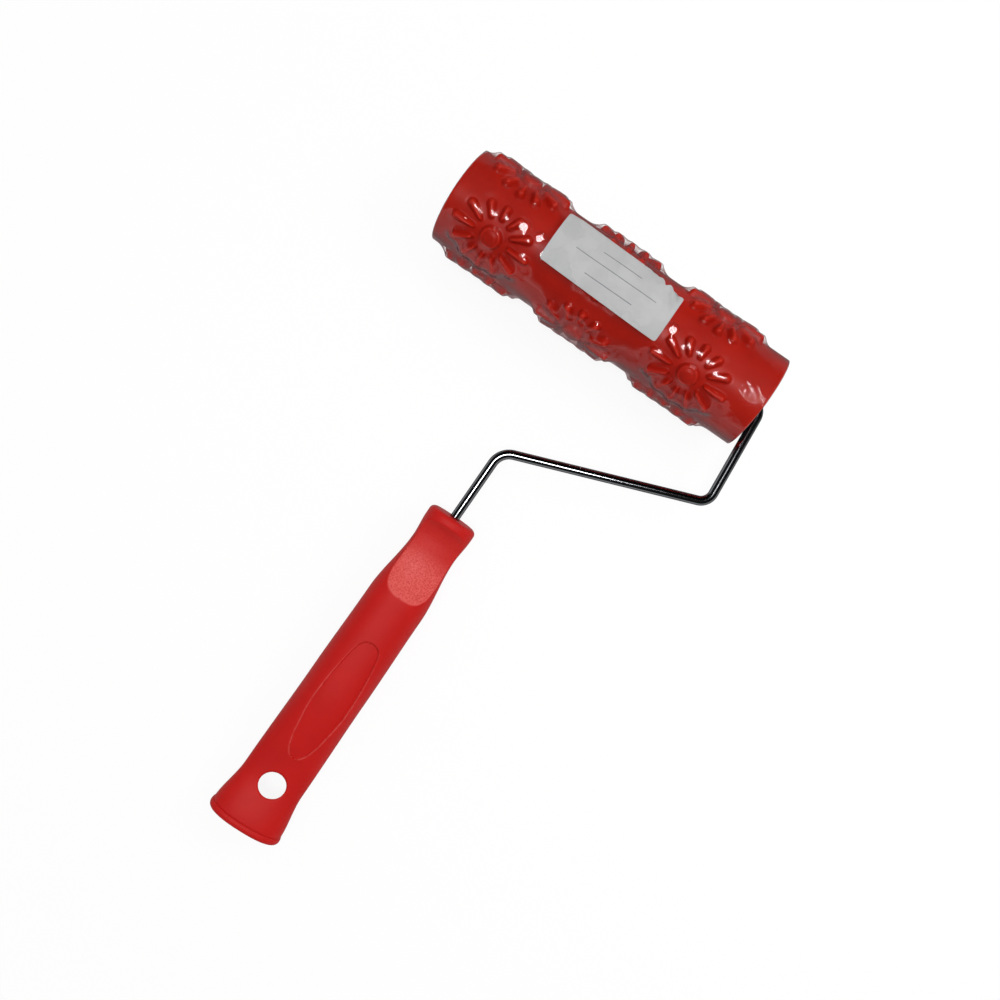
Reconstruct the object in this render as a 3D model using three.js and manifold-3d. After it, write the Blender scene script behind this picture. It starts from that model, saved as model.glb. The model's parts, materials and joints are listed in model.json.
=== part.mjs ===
// Pattern paint roller: a rubber sleeve with raised daisies, turning on a bent wire frame
// with a moulded handle. Millimetres, +Z up. The tool lies at rest on a flat surface: +X runs
// along the roller's axle, towards the side where the wire comes out of it, and +Y runs from
// the handle towards the roller. Angles on the roller are measured from its top towards the
// handle.

import * as THREE from "three";
import { mergeVertices } from "three/addons/utils/BufferGeometryUtils.js";
import Module from "manifold-3d";

const wasm = await Module();
wasm.setup();

// Clearances
const seatGap = 0.3;
const runningGap = 0.2;
const cutOverrun = 3;

// Rubber sleeve and its raised pattern
const sleeveLength = 180;
const sleeveRadius = 25;
const sleeveWall = 3.4;
const reliefHeight = 3.8;
const reliefRoot = 1.4;
const plainEndInner = 5.7;
const plainEndOuter = 16.4;
const daisyHalfLength = 21.8;
const daisyHalfGirth = 17.8;
const petalStart = 8.8;
const petalWidth = 4.7;
const bossRadius = 5;
const bossHeight = 3;
const buttonRadius = 3.4;
const daisyColumns = 3;
const daisiesAround = 4;
const petalsPerDaisy = 12;
const firstDaisyAngle = THREE.MathUtils.degToRad(31);

// Core tube, end caps and bushes inside the sleeve
const coreWall = 2.5;
const capFlange = 2;
const capRecess = 0.3;
const capDepth = 11.7;
const capSkirtWall = 2;
const capSkirtLength = 15;
const capWeb = 3;
const capHubLength = 11;
const capHubRadius = 7.5;
const capRibs = 6;
const capRibWidth = 1.6;
const capRibHeight = 4;
const bushRadius = 4.5;
const bushFlangeRadius = 7;
const bushFlange = 1.6;

// Bent wire frame and the small parts on its axle
const rodRadius = 2.5;
const axleBend = 8;
const elbowBend = 7;
const shoulderBend = 10;
const legClearance = 1.1;
const legSpread = 5.4;
const elbowDrop = 55.1;
const rodShoulderDrop = 93.5;
const handleSide = -1.2;
const tangLength = 74;
const washerRadius = 6.4;
const washerThickness = 1;
const collarRadius = 4.6;
const collarLength = 4;
const nutRadius = 5;
const nutLength = 4.6;
const nutEnd = 1;

// Moulded handle: places run from its neck end, or from its butt end where the name says so
const neckDrop = 134.2;
const handleLength = 192.5;
const handleTurn = THREE.MathUtils.degToRad(6);
const handleWall = 2.4;
const neckRounding = 2.6;
const lipPlace = 5.5;
const lipWidth = 26.8;
const lipThickness = 23.4;
const waistPlace = 18.5;
const waistWidth = 25;
const waistThickness = 21.6;
const shoulderPlace = 53;
const shoulderWidth = 31.7;
const shoulderThickness = 25.6;
const bellyPlace = 104;
const bellyWidth = 33;
const bellyThickness = 27;
const tailFromButt = 28.5;
const tailWidth = 34.6;
const tailThickness = 14;
const buttFromButt = 3.6;
const buttWidth = 40.4;
const buttThickness = 21.6;
const capLipHeight = 4.2;
const capLipRounding = 2.4;
const capPlugDepth = 7;
const neckBoreDepth = 14;
const socketRadius = 4.6;
const plugLength = 54;
const cavityPlace = 80;
const scoopPlace = 5.4;
const scoopLength = 42.6;
const scoopDepth = 5.4;
const scoopCrown = 60;
const leafPlace = 73.8;
const leafLength = 72.6;
const leafWidth = 19;
const leafDepth = 0.6;
const leafSide = 1.4;
const holeFromButt = 25.8;
const holeSide = 0.8;
const holeSlant = THREE.MathUtils.degToRad(16);
const holeRadius = 7;
const holeBackRadius = 9.4;
const holeWall = 1.8;

// Paper label on the raised pattern
const labelLength = 67.6;
const labelHeight = 30;
const labelThickness = 0.3;
const labelCorner = 2.2;
const labelPlace = -4;
const labelAngle = THREE.MathUtils.degToRad(-10.5);

// How finely round things are faceted
const tubeSides = 40;
const smallSides = 20;
const capSides = 32;
const rodSides = 12;
const bendSteps = 7;
const handleSides = 32;
const handleSteps = 20;
const cavitySides = 24;
const cavitySteps = 9;
const bossSides = 10;
const labelSteps = 16;
const labelCornerSteps = 4;

// Shapes as shares of the sizes above
const petalOutlineShares = [[0, 0.36], [0.42, 0.82], [0.84, 1]];
const petalLevelShares = [[0.55, 0.94], [1, 0.5]];
const bossLevelShares = [[1, 0.94]];
const buttonLevelShares = [[1, 0.94]];
const neckRoundingShares = [0, 0.25, 0.6, 1];
const capRoundingShares = [0, 0.45, 0.8, 1];
const sectionPowerShare = 2 / 2.35;
const scoopFloorShares = [
  [-0.12, -0.6], [0, 0], [0.07, 0.5], [0.18, 0.88], [0.36, 1], [0.58, 0.84], [0.8, 0.5], [1, 0],
  [1.14, -0.42],
];
const scoopAcrossShares = [-1, -0.75, -0.5, -0.25, 0, 0.25, 0.5, 0.75, 1];
const leafWidthShares = [
  [0, 0.3], [0.025, 0.58], [0.1, 0.72], [0.22, 0.86], [0.4, 0.98], [0.58, 1], [0.74, 0.86], [0.88, 0.67],
  [0.965, 0.44], [1, 0.16],
];

// Worked out from the sizes above
const sleeveHalf = sleeveLength / 2;
const boreRadius = sleeveRadius - sleeveWall;
const reliefRadius = sleeveRadius + reliefHeight;
const patternRadius = sleeveRadius + reliefHeight / 2;
const coreRadius = boreRadius - seatGap;
const capRadius = coreRadius - coreWall - seatGap;
const capOutside = sleeveHalf - capRecess;
const coreHalf = capOutside - capFlange - seatGap;
const webOutside = capOutside - capDepth;
const bushBore = rodRadius + runningGap;
const bushOutside = webOutside + seatGap + bushFlange;
const hubBore = bushRadius + seatGap;
const washerOutside = bushOutside + seatGap + washerThickness;
const collarPlace = washerOutside + seatGap;
const axleFarEnd = -(collarPlace + nutLength - nutEnd - seatGap);
const legTopPlace = sleeveHalf + legClearance + rodRadius;
const elbowPlace = legTopPlace + legSpread;
const neckBore = rodRadius + seatGap;
const shellLength = handleLength - capLipHeight - seatGap;

// Takes a geometry down to its points and faces, and turns its faces out.
function closed(geometry) {
  const bare = geometry.clone();
  bare.deleteAttribute("normal");
  bare.deleteAttribute("uv");
  const merged = mergeVertices(bare);
  const place = merged.getAttribute("position");
  const faces = merged.index.array;
  const corner = [new THREE.Vector3(), new THREE.Vector3(), new THREE.Vector3()];
  let volume = 0;
  for (let i = 0; i < faces.length; i += 3) {
    corner.forEach((point, k) => point.fromBufferAttribute(place, faces[i + k]));
    volume += corner[0].dot(corner[1].cross(corner[2]));
  }
  if (volume < 0) {
    for (let i = 0; i < faces.length; i += 3) {
      [faces[i + 1], faces[i + 2]] = [faces[i + 2], faces[i + 1]];
    }
  }
  return merged;
}

function solid(geometry) {
  const merged = closed(geometry);
  const vertProperties = merged.getAttribute("position").array;
  const triVerts = new Uint32Array(merged.index.array);
  return new wasm.Manifold(new wasm.Mesh({ numProp: 3, vertProperties, triVerts }));
}

function geometryOf(body) {
  const { vertProperties, triVerts } = body.getMesh();
  const geometry = new THREE.BufferGeometry();
  geometry.setAttribute("position", new THREE.BufferAttribute(vertProperties, 3));
  geometry.setIndex(new THREE.BufferAttribute(triVerts, 1));
  geometry.computeVertexNormals();
  return geometry;
}

// A closed solid through rings of points, with as many points in each, and flat ends.
function loft(rings) {
  const count = rings[0].length;
  const faces = [];
  for (let r = 0; r + 1 < rings.length; r += 1) {
    for (let i = 0; i < count; i += 1) {
      const a = r * count + i;
      const b = r * count + (i + 1) % count;
      faces.push(a, b, b + count, a, b + count, a + count);
    }
  }
  const last = (rings.length - 1) * count;
  for (const [a, b, c] of THREE.ShapeUtils.triangulateShape(flattened(rings[0]), [])) {
    faces.push(b, a, c);
  }
  for (const [a, b, c] of THREE.ShapeUtils.triangulateShape(flattened(rings.at(-1)), [])) {
    faces.push(last + a, last + b, last + c);
  }
  const geometry = new THREE.BufferGeometry().setFromPoints(rings.flat());
  geometry.setIndex(faces);
  return closed(geometry);
}

// A ring's points in the ring's own plane, running anticlockwise, for filling it with triangles.
function flattened(points) {
  const total = points.reduce((sum, point) => sum.add(point), new THREE.Vector3());
  const middle = total.divideScalar(points.length);
  const arms = points.map((point) => point.clone().sub(middle));
  const normal = new THREE.Vector3();
  arms.forEach((arm, i) => normal.add(arm.clone().cross(arms[(i + 1) % arms.length])));
  const across = arms[0].clone().normalize();
  const upright = normal.normalize().clone().cross(across);
  return arms.map((arm) => new THREE.Vector2(arm.dot(across), arm.dot(upright)));
}

// A solid turned about the X axis from a closed profile of [place along the axis, radius] pairs.
function turned(profile, sides) {
  const points = [...profile, profile[0]].map(([place, radius]) => new THREE.Vector2(radius, place));
  return closed(new THREE.LatheGeometry(points, sides).rotateZ(-Math.PI / 2));
}

function ring(from, to, inside, outside, sides) {
  return turned([[from, inside], [to, inside], [to, outside], [from, outside]], sides);
}

// A point of the flat pattern laid on the sleeve: along it, around it and out from its plain surface.
function onSleeve(along, around, height, angle) {
  const turn = angle + around / patternRadius;
  const reach = sleeveRadius + height;
  return new THREE.Vector3(along, -reach * Math.sin(turn), reach * Math.cos(turn));
}

// A raised shape: its flat outline carried from inside the wall up through levels of
// [height share, outline share].
function raised(outline, top, levelShares, daisy) {
  const total = outline.reduce((sum, point) => sum.add(point), new THREE.Vector2());
  const middle = total.divideScalar(outline.length);
  const levels = [[-reliefRoot, 1], ...levelShares.map(([height, spread]) => [height * top, spread])];
  const rings = levels.map(([height, spread]) => outline.map((point) => {
    const flat = point.clone().sub(middle).multiplyScalar(spread).add(middle);
    return onSleeve(daisy.along + flat.x, flat.y, height, daisy.angle);
  }));
  return solid(loft(rings));
}

// One petal's outline, from the boss outwards, in a daisy that is squeezed around the sleeve.
function petalOutline(turn) {
  const way = new THREE.Vector2(Math.cos(turn), Math.sin(turn));
  const side = new THREE.Vector2(-way.y, way.x);
  const squeeze = Math.hypot(way.x / daisyHalfLength, way.y / daisyHalfGirth);
  const reach = 1 / squeeze;
  const edge = (share, width) => way.clone()
    .multiplyScalar(petalStart + (reach - petalStart) * share)
    .addScaledVector(side, width * petalWidth / 2);
  const right = petalOutlineShares.map(([share, width]) => edge(share, -width));
  const left = petalOutlineShares.map(([share, width]) => edge(share, width)).reverse();
  return [...right, edge(1, 0), ...left];
}

function circleOutline(radius) {
  return Array.from({ length: bossSides }, (_, i) => {
    const turn = 2 * Math.PI * i / bossSides;
    return new THREE.Vector2(radius * Math.cos(turn), radius * Math.sin(turn));
  });
}

// The daisies' places: columns along the sleeve, each turned half a step from the one before.
function daisyPlaces() {
  const first = -sleeveHalf + plainEndInner + daisyHalfLength;
  const last = sleeveHalf - plainEndOuter - daisyHalfLength;
  const pitch = (last - first) / (daisyColumns - 1);
  const step = 2 * Math.PI / daisiesAround;
  const places = [];
  for (let column = 0; column < daisyColumns; column += 1) {
    for (let i = 0; i < daisiesAround; i += 1) {
      const angle = firstDaisyAngle + step * (i + (column % 2) / 2);
      places.push({ along: first + pitch * column, angle });
    }
  }
  return places;
}

function makeSleeve() {
  let sleeve = solid(ring(-sleeveHalf, sleeveHalf, boreRadius, sleeveRadius, tubeSides));
  for (const daisy of daisyPlaces()) {
    for (let i = 0; i < petalsPerDaisy; i += 1) {
      const outline = petalOutline(2 * Math.PI * i / petalsPerDaisy);
      sleeve = sleeve.add(raised(outline, reliefHeight, petalLevelShares, daisy));
    }
    sleeve = sleeve.add(raised(circleOutline(bossRadius), bossHeight, bossLevelShares, daisy));
    sleeve = sleeve.add(raised(circleOutline(buttonRadius), reliefHeight, buttonLevelShares, daisy));
  }
  return geometryOf(sleeve);
}

// The end cap for the positive end: a flange on the tube's end, a skirt in its bore and a
// ribbed web with a hub.
function makeEndCap() {
  const skirtBore = capRadius - capSkirtWall;
  const skirtEnd = capOutside - capSkirtLength;
  const webInside = webOutside - capWeb;
  const hubEnd = webOutside - capHubLength;
  let cap = solid(turned([
    [capOutside, skirtBore],
    [capOutside, coreRadius],
    [capOutside - capFlange, coreRadius],
    [capOutside - capFlange, capRadius],
    [skirtEnd, capRadius],
    [skirtEnd, skirtBore],
    [webInside, skirtBore],
    [webInside, capHubRadius],
    [hubEnd, capHubRadius],
    [hubEnd, hubBore],
    [webOutside, hubBore],
    [webOutside, skirtBore],
  ], capSides));
  const ribFrom = bushFlangeRadius + seatGap;
  const ribLength = (capRadius + skirtBore) / 2 - ribFrom;
  for (let i = 0; i < capRibs; i += 1) {
    const rib = new THREE.BoxGeometry(capRibHeight + capWeb / 2, ribLength, capRibWidth);
    rib.translate(webOutside + (capRibHeight - capWeb / 2) / 2, ribFrom + ribLength / 2, 0);
    rib.rotateX(2 * Math.PI * i / capRibs);
    cap = cap.add(solid(rib));
  }
  return geometryOf(cap);
}

// A flanged bush for the positive end.
function makeBush() {
  const bodyEnd = webOutside - capHubLength;
  return turned([
    [bodyEnd, bushBore],
    [bodyEnd, bushRadius],
    [webOutside + seatGap, bushRadius],
    [webOutside + seatGap, bushFlangeRadius],
    [bushOutside, bushFlangeRadius],
    [bushOutside, bushBore],
  ], smallSides);
}

// A spring cap pushed on the axle's far end, open towards the roller.
function makePushNut() {
  const bore = rodRadius + runningGap;
  const profile = [
    [collarPlace, bore],
    [collarPlace, nutRadius],
    [collarPlace + nutLength - nutEnd, nutRadius],
    [collarPlace + nutLength, nutRadius - nutEnd],
    [collarPlace + nutLength, 0],
    [collarPlace + nutLength - nutEnd, 0],
    [collarPlace + nutLength - nutEnd, bore],
  ];
  return turned(profile, smallSides);
}

// The wire's centre line in the frame's own plane, as corners and the radius of the bend at each.
const rodCorners = [
  { place: new THREE.Vector3(axleFarEnd, 0, 0) },
  { place: new THREE.Vector3(legTopPlace, 0, 0), bend: axleBend },
  { place: new THREE.Vector3(elbowPlace, -elbowDrop, 0), bend: elbowBend },
  { place: new THREE.Vector3(handleSide, -rodShoulderDrop, 0), bend: shoulderBend },
  { place: new THREE.Vector3(handleSide, -neckDrop - tangLength, 0) },
];

// A round wire through the corners, with a true arc at each bend.
function makeRod(corners) {
  const up = new THREE.Vector3(0, 0, 1);
  const ringAt = (centre, way) => {
    const side = new THREE.Vector3().crossVectors(up, way);
    return Array.from({ length: rodSides }, (_, i) => {
      const turn = 2 * Math.PI * i / rodSides;
      return centre.clone()
        .addScaledVector(side, rodRadius * Math.cos(turn))
        .addScaledVector(up, rodRadius * Math.sin(turn));
    });
  };
  const wayTo = (i) => corners[i + 1].place.clone().sub(corners[i].place).normalize();
  const rings = [ringAt(corners[0].place, wayTo(0))];
  for (let i = 1; i + 1 < corners.length; i += 1) {
    const before = wayTo(i - 1);
    const after = wayTo(i);
    const angle = before.angleTo(after);
    const turnSide = Math.sign(new THREE.Vector3().crossVectors(before, after).z);
    const start = corners[i].place.clone().addScaledVector(before, -corners[i].bend * Math.tan(angle / 2));
    const inward = new THREE.Vector3().crossVectors(up, before).multiplyScalar(turnSide);
    const centre = start.clone().addScaledVector(inward, corners[i].bend);
    for (let step = 0; step <= bendSteps; step += 1) {
      const turn = turnSide * angle * step / bendSteps;
      const arm = start.clone().sub(centre).applyAxisAngle(up, turn);
      rings.push(ringAt(centre.clone().add(arm), before.clone().applyAxisAngle(up, turn)));
    }
  }
  const last = corners.length - 1;
  rings.push(ringAt(corners[last].place, wayTo(last - 1)));
  return loft(rings);
}

// The handle's width and thickness at its named places, from the neck end to the butt end.
const handlePlaces = [
  [lipPlace, lipWidth, lipThickness],
  [waistPlace, waistWidth, waistThickness],
  [shoulderPlace, shoulderWidth, shoulderThickness],
  [bellyPlace, bellyWidth, bellyThickness],
  [handleLength - tailFromButt, tailWidth, tailThickness],
  [handleLength - buttFromButt, buttWidth, buttThickness],
];

// Half the handle's width and thickness at a place, eased from one named place to the next.
function handleHalves(place) {
  const at = THREE.MathUtils.clamp(place, handlePlaces[0][0], handlePlaces.at(-1)[0]);
  const next = Math.max(1, handlePlaces.findIndex(([named]) => named >= at));
  const [from, to] = [handlePlaces[next - 1], handlePlaces[next]];
  const ease = THREE.MathUtils.smoothstep(at, from[0], to[0]);
  return [1, 2].map((k) => THREE.MathUtils.lerp(from[k], to[k], ease) / 2);
}

// A ring round the handle at a place, drawn in from its surface. The handle runs from zero towards -Y.
function handleRing(place, drawnIn, sides) {
  const [halfWidth, halfThickness] = handleHalves(place).map((half) => half - drawnIn);
  return Array.from({ length: sides }, (_, i) => {
    const turn = 2 * Math.PI * i / sides;
    const x = Math.sign(Math.cos(turn)) * Math.abs(Math.cos(turn)) ** sectionPowerShare;
    const z = Math.sign(Math.sin(turn)) * Math.abs(Math.sin(turn)) ** sectionPowerShare;
    return new THREE.Vector3(x * halfWidth, -place, z * halfThickness);
  });
}

// How far a rounded end draws in at a distance from that end.
function roundingAt(fromEnd, radius) {
  const short = Math.max(0, radius - fromEnd);
  return radius - Math.sqrt(radius ** 2 - short ** 2);
}

function handleBody(drawnIn) {
  const rings = neckRoundingShares.map((share) => {
    const place = share * neckRounding;
    return handleRing(place, drawnIn + roundingAt(place, neckRounding), handleSides);
  });
  for (let i = 1; i <= handleSteps; i += 1) {
    const place = THREE.MathUtils.lerp(neckRounding, shellLength, i / handleSteps);
    rings.push(handleRing(place, drawnIn, handleSides));
  }
  return solid(loft(rings));
}

// The space that the thumb's hollow takes out of the handle's top.
function scoopCutter() {
  const reach = shoulderWidth / 2 + cutOverrun;
  const roof = shoulderThickness / 2 + cutOverrun;
  const rings = scoopFloorShares.map(([share, depth]) => {
    const place = scoopPlace + scoopLength * share;
    const rim = THREE.MathUtils.lerp(lipThickness, shoulderThickness, share) / 2;
    const floor = rim - scoopDepth * depth;
    const across = scoopAcrossShares.map((side) => {
      const x = side * reach;
      return new THREE.Vector3(x, -place, floor - x ** 2 / (2 * scoopCrown));
    });
    const top = Math.max(roof, floor + cutOverrun);
    return [...across, new THREE.Vector3(reach, -place, top), new THREE.Vector3(-reach, -place, top)];
  });
  return solid(loft(rings));
}

// The leaf-shaped panel that is let into the handle's top by leafDepth.
function leafCutter() {
  const edge = ([share, width], side) => new THREE.Vector2(
    leafSide + side * width * leafWidth / 2,
    -leafPlace - leafLength * share,
  );
  const right = leafWidthShares.map((pair) => edge(pair, 1));
  const left = leafWidthShares.map((pair) => edge(pair, -1)).reverse();
  const height = bellyThickness / 2 + cutOverrun;
  const outline = new THREE.Shape([...right, ...left]);
  return solid(new THREE.ExtrudeGeometry(outline, { depth: height, bevelEnabled: false }));
}

// The hanging hole, or the wall round it: a drafted hole that widens towards the handle's back and
// slants to the butt there.
function hangingHole(wall) {
  const reach = buttThickness / 2 + cutOverrun;
  const slope = (holeBackRadius - holeRadius) / tailThickness;
  const middle = (holeBackRadius + holeRadius) / 2 + wall;
  const front = middle - slope * reach;
  const back = middle + slope * reach;
  const hole = new THREE.CylinderGeometry(front, back, 2 * reach, smallSides).rotateX(Math.PI / 2);
  hole.applyMatrix4(new THREE.Matrix4().makeShear(0, 0, 0, 0, 0, Math.tan(holeSlant)));
  return solid(hole.translate(holeSide, -handleLength + holeFromButt, 0));
}

// Places along the shell's mouth that both it and the plug in it follow.
const plugPlace = handleLength - capLipHeight - capPlugDepth;
const mouthPlaces = [plugPlace, plugPlace + capPlugDepth / 2, handleLength - capLipHeight, handleLength];

function handleCavity() {
  const steps = Array.from({ length: cavitySteps }, (_, i) => i / cavitySteps);
  const places = steps.map((share) => THREE.MathUtils.lerp(cavityPlace, mouthPlaces[0], share));
  const rings = [...places, ...mouthPlaces].map((place) => handleRing(place, handleWall, cavitySides));
  return solid(loft(rings)).subtract(hangingHole(holeWall));
}

// A bore along the handle from one place to another.
function handleBore(from, to, radius) {
  const bore = new THREE.CylinderGeometry(radius, radius, to - from, smallSides);
  return solid(bore.translate(0, -(from + to) / 2, 0));
}

function makeHandleShell() {
  const panel = leafCutter().subtract(handleBody(leafDepth));
  const shell = handleBody(0)
    .subtract(panel)
    .subtract(scoopCutter())
    .subtract(handleCavity())
    .subtract(hangingHole(0))
    .subtract(handleBore(-cutOverrun, neckBoreDepth + cutOverrun, neckBore))
    .subtract(handleBore(neckBoreDepth, cavityPlace + cutOverrun, socketRadius));
  return geometryOf(shell);
}

// The cap that closes the butt: a rounded lip as wide as the shell, and a plug in the shell's mouth.
function makeHandleCap() {
  const lip = [handleRing(handleLength - capLipHeight, 0, handleSides)];
  for (const share of [...capRoundingShares].reverse()) {
    const fromEnd = share * capLipRounding;
    lip.push(handleRing(handleLength - fromEnd, roundingAt(fromEnd, capLipRounding), handleSides));
  }
  const drawnIn = handleWall + seatGap;
  const plug = mouthPlaces.slice(0, -1).map((place) => handleRing(place, drawnIn, cavitySides));
  plug.push(handleRing(handleLength - capLipHeight / 2, drawnIn, cavitySides));
  return geometryOf(solid(loft(lip)).add(solid(loft(plug))));
}

// The sleeve that holds the wire's tang in the handle's socket.
function makeTangPlug() {
  const from = neckBoreDepth + seatGap;
  const plug = ring(from, from + plugLength, neckBore, socketRadius - seatGap, smallSides);
  return plug.rotateZ(-Math.PI / 2);
}

// The label: a rounded oblong of paper bent round the tops of the petals.
function makeLabel() {
  const shape = new THREE.Shape();
  const [halfLength, halfHeight] = [labelLength / 2, labelHeight / 2];
  const turns = [0, 1, 2, 3];
  const corners = turns.map((quarter) => {
    const sideX = quarter === 0 || quarter === 3 ? 1 : -1;
    const sideY = quarter < 2 ? 1 : -1;
    return [sideX * (halfLength - labelCorner), sideY * (halfHeight - labelCorner)];
  });
  turns.forEach((quarter) => {
    const [x, y] = corners[quarter];
    shape.absarc(x, y, labelCorner, quarter * Math.PI / 2, (quarter + 1) * Math.PI / 2, false);
  });
  let paper = solid(new THREE.ExtrudeGeometry(shape, {
    depth: labelThickness,
    bevelEnabled: false,
    curveSegments: labelCornerSteps,
  }));
  const labelRadius = reliefRadius + seatGap;
  const strips = [];
  for (let i = 0; i < labelSteps; i += 1) {
    const width = labelHeight / labelSteps;
    const strip = new THREE.BoxGeometry(labelLength, width, labelThickness);
    strip.translate(0, -halfHeight + width * (i + 1 / 2), labelThickness / 2);
    strips.push(solid(strip));
  }
  paper = strips.map((strip) => paper.intersect(strip)).reduce((all, strip) => all.add(strip));
  return bentRound(geometryOf(paper), labelRadius, labelPlace, labelAngle);
}

// Bends a flat sheet round the roller's axis: its X stays along the axis and its Y goes round
// towards the handle.
function bentRound(geometry, radius, along, angle) {
  const place = geometry.getAttribute("position");
  for (let i = 0; i < place.count; i += 1) {
    const turn = angle + place.getY(i) / radius;
    const reach = radius + place.getZ(i);
    place.setXYZ(i, along + place.getX(i), -reach * Math.sin(turn), reach * Math.cos(turn));
  }
  return closed(geometry);
}

// Materials
const redRubber = new THREE.MeshStandardMaterial({ color: 0xb01e14, roughness: 0.3, metalness: 0 });
const redPlastic = new THREE.MeshStandardMaterial({ color: 0xb9201c, roughness: 0.55, metalness: 0 });
const chrome = new THREE.MeshStandardMaterial({ color: 0xd8dadc, roughness: 0.12, metalness: 1 });
const steel = new THREE.MeshStandardMaterial({ color: 0xa9abad, roughness: 0.35, metalness: 1 });
const greyPlastic = new THREE.MeshStandardMaterial({ color: 0x8c8f92, roughness: 0.6, metalness: 0 });
const blackPlastic = new THREE.MeshStandardMaterial({ color: 0x26272a, roughness: 0.5, metalness: 0 });
const whiteNylon = new THREE.MeshStandardMaterial({ color: 0xdedbd2, roughness: 0.45, metalness: 0 });
const paper = new THREE.MeshStandardMaterial({ color: 0xc6c6c6, roughness: 0.7, metalness: 0 });

function part(name, geometry, material) {
  const mesh = new THREE.Mesh(geometry, material);
  mesh.name = name;
  return mesh;
}

// The same part for the roller's other end, turned end for end about the vertical.
function otherEnd(mesh) {
  mesh.rotation.z = Math.PI;
  return mesh;
}

// The roller turns about its own X axis.
const roller = new THREE.Group();
roller.add(part("patterned_sleeve", makeSleeve(), redRubber));
const core = ring(-coreHalf, coreHalf, coreRadius - coreWall, coreRadius, tubeSides);
roller.add(part("core_tube", core, greyPlastic));
roller.add(part("end_cap_outer", makeEndCap(), blackPlastic));
roller.add(otherEnd(part("end_cap_inner", makeEndCap(), blackPlastic)));
roller.add(part("bush_outer", makeBush(), whiteNylon));
roller.add(otherEnd(part("bush_inner", makeBush(), whiteNylon)));
roller.add(part("label", makeLabel(), paper));

// The handle, turned a little on the wire's tang.
const handle = new THREE.Group();
handle.position.set(handleSide, -neckDrop, 0);
handle.rotation.y = handleTurn;
handle.add(part("handle_shell", makeHandleShell(), redPlastic));
handle.add(part("handle_end_cap", makeHandleCap(), redPlastic));
handle.add(part("tang_plug", makeTangPlug(), blackPlastic));

// The frame, built flat about the roller's axle.
const axleBore = rodRadius + runningGap;
const washerInside = washerOutside - washerThickness;
const washer = ring(washerInside, washerOutside, axleBore, washerRadius, smallSides);
const collar = ring(collarPlace, collarPlace + collarLength, axleBore, collarRadius, smallSides);
const frame = new THREE.Group();
frame.add(handle);
frame.add(part("frame_rod", makeRod(rodCorners), chrome));
frame.add(part("thrust_washer_outer", washer, steel));
frame.add(otherEnd(part("thrust_washer_inner", washer, steel)));
frame.add(part("stop_collar", collar, steel));
frame.add(otherEnd(part("push_nut", makePushNut(), steel)));

// Every corner point of a group's meshes, in the group's own space.
function cornersOf(group) {
  group.updateMatrixWorld(true);
  const corners = [];
  group.traverse((item) => {
    if (item.isMesh) {
      const place = item.geometry.getAttribute("position");
      for (let i = 0; i < place.count; i += 1) {
        corners.push(new THREE.Vector3().fromBufferAttribute(place, i).applyMatrix4(item.matrixWorld));
      }
    }
  });
  return corners;
}

// At rest the raised pattern carries the roller, and the frame leans down until the handle's butt touches.
const axleHeight = -Math.min(...cornersOf(roller).map((corner) => corner.z));
const leans = cornersOf(handle).map((corner) => {
  const reach = Math.hypot(corner.y, corner.z);
  return Math.asin(Math.min(1, axleHeight / reach)) - Math.atan2(-corner.z, -corner.y);
});
frame.rotation.x = Math.min(...leans);
roller.position.z = axleHeight;
frame.position.z = axleHeight;

// The origin is on the surface that the tool lies on, in the middle of the space that the tool takes up.
const tool = new THREE.Group();
tool.add(roller, frame);
const middle = new THREE.Box3().setFromPoints(cornersOf(tool)).getCenter(new THREE.Vector3());
roller.position.x = -middle.x;
frame.position.x = -middle.x;
roller.position.y = -middle.y;
frame.position.y = -middle.y;

export default tool;
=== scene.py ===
"""Pattern paint roller: the fine surface and the finish of every piece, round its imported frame.

Sizes in the classes are millimetres, and angles on the roller run from its top towards the
handle. Places run along the axle from the roller's middle. The meshes are made in metres.
"""

import json
import logging
import math
from dataclasses import dataclass, field
from enum import Enum
from typing import Callable, ClassVar, Iterable

import bpy
import numpy as np
from mathutils import Matrix, Vector


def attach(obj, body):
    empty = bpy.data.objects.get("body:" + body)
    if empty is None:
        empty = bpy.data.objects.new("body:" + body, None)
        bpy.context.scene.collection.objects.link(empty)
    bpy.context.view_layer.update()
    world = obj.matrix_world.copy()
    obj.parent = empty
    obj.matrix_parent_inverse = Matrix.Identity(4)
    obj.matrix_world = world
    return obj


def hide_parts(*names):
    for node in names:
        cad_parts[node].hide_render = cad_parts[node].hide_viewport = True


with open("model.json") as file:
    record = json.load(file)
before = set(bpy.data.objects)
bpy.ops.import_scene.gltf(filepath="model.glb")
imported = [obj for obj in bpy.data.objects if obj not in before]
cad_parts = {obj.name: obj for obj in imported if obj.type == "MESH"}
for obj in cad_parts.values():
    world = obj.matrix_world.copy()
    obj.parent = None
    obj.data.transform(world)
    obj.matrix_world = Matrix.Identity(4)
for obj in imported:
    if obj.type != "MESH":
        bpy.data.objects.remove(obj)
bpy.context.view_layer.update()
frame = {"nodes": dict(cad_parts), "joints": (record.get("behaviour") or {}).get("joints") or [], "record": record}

MM = 0.001
FULL_TURN = 2 * math.pi
QUARTER_TURN = math.pi / 2
WHITE, BLACK = (1.0, 1.0, 1.0, 1.0), (0.0, 0.0, 0.0, 1.0)
log = logging.getLogger("roller")

Colour = tuple[float, float, float]
Pair = tuple[float, float]
Object = bpy.types.Object
Socket = bpy.types.NodeSocket


class Body(Enum):
    """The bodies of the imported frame."""

    FRAME = "frame"
    ROLLER = "roller"


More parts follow.
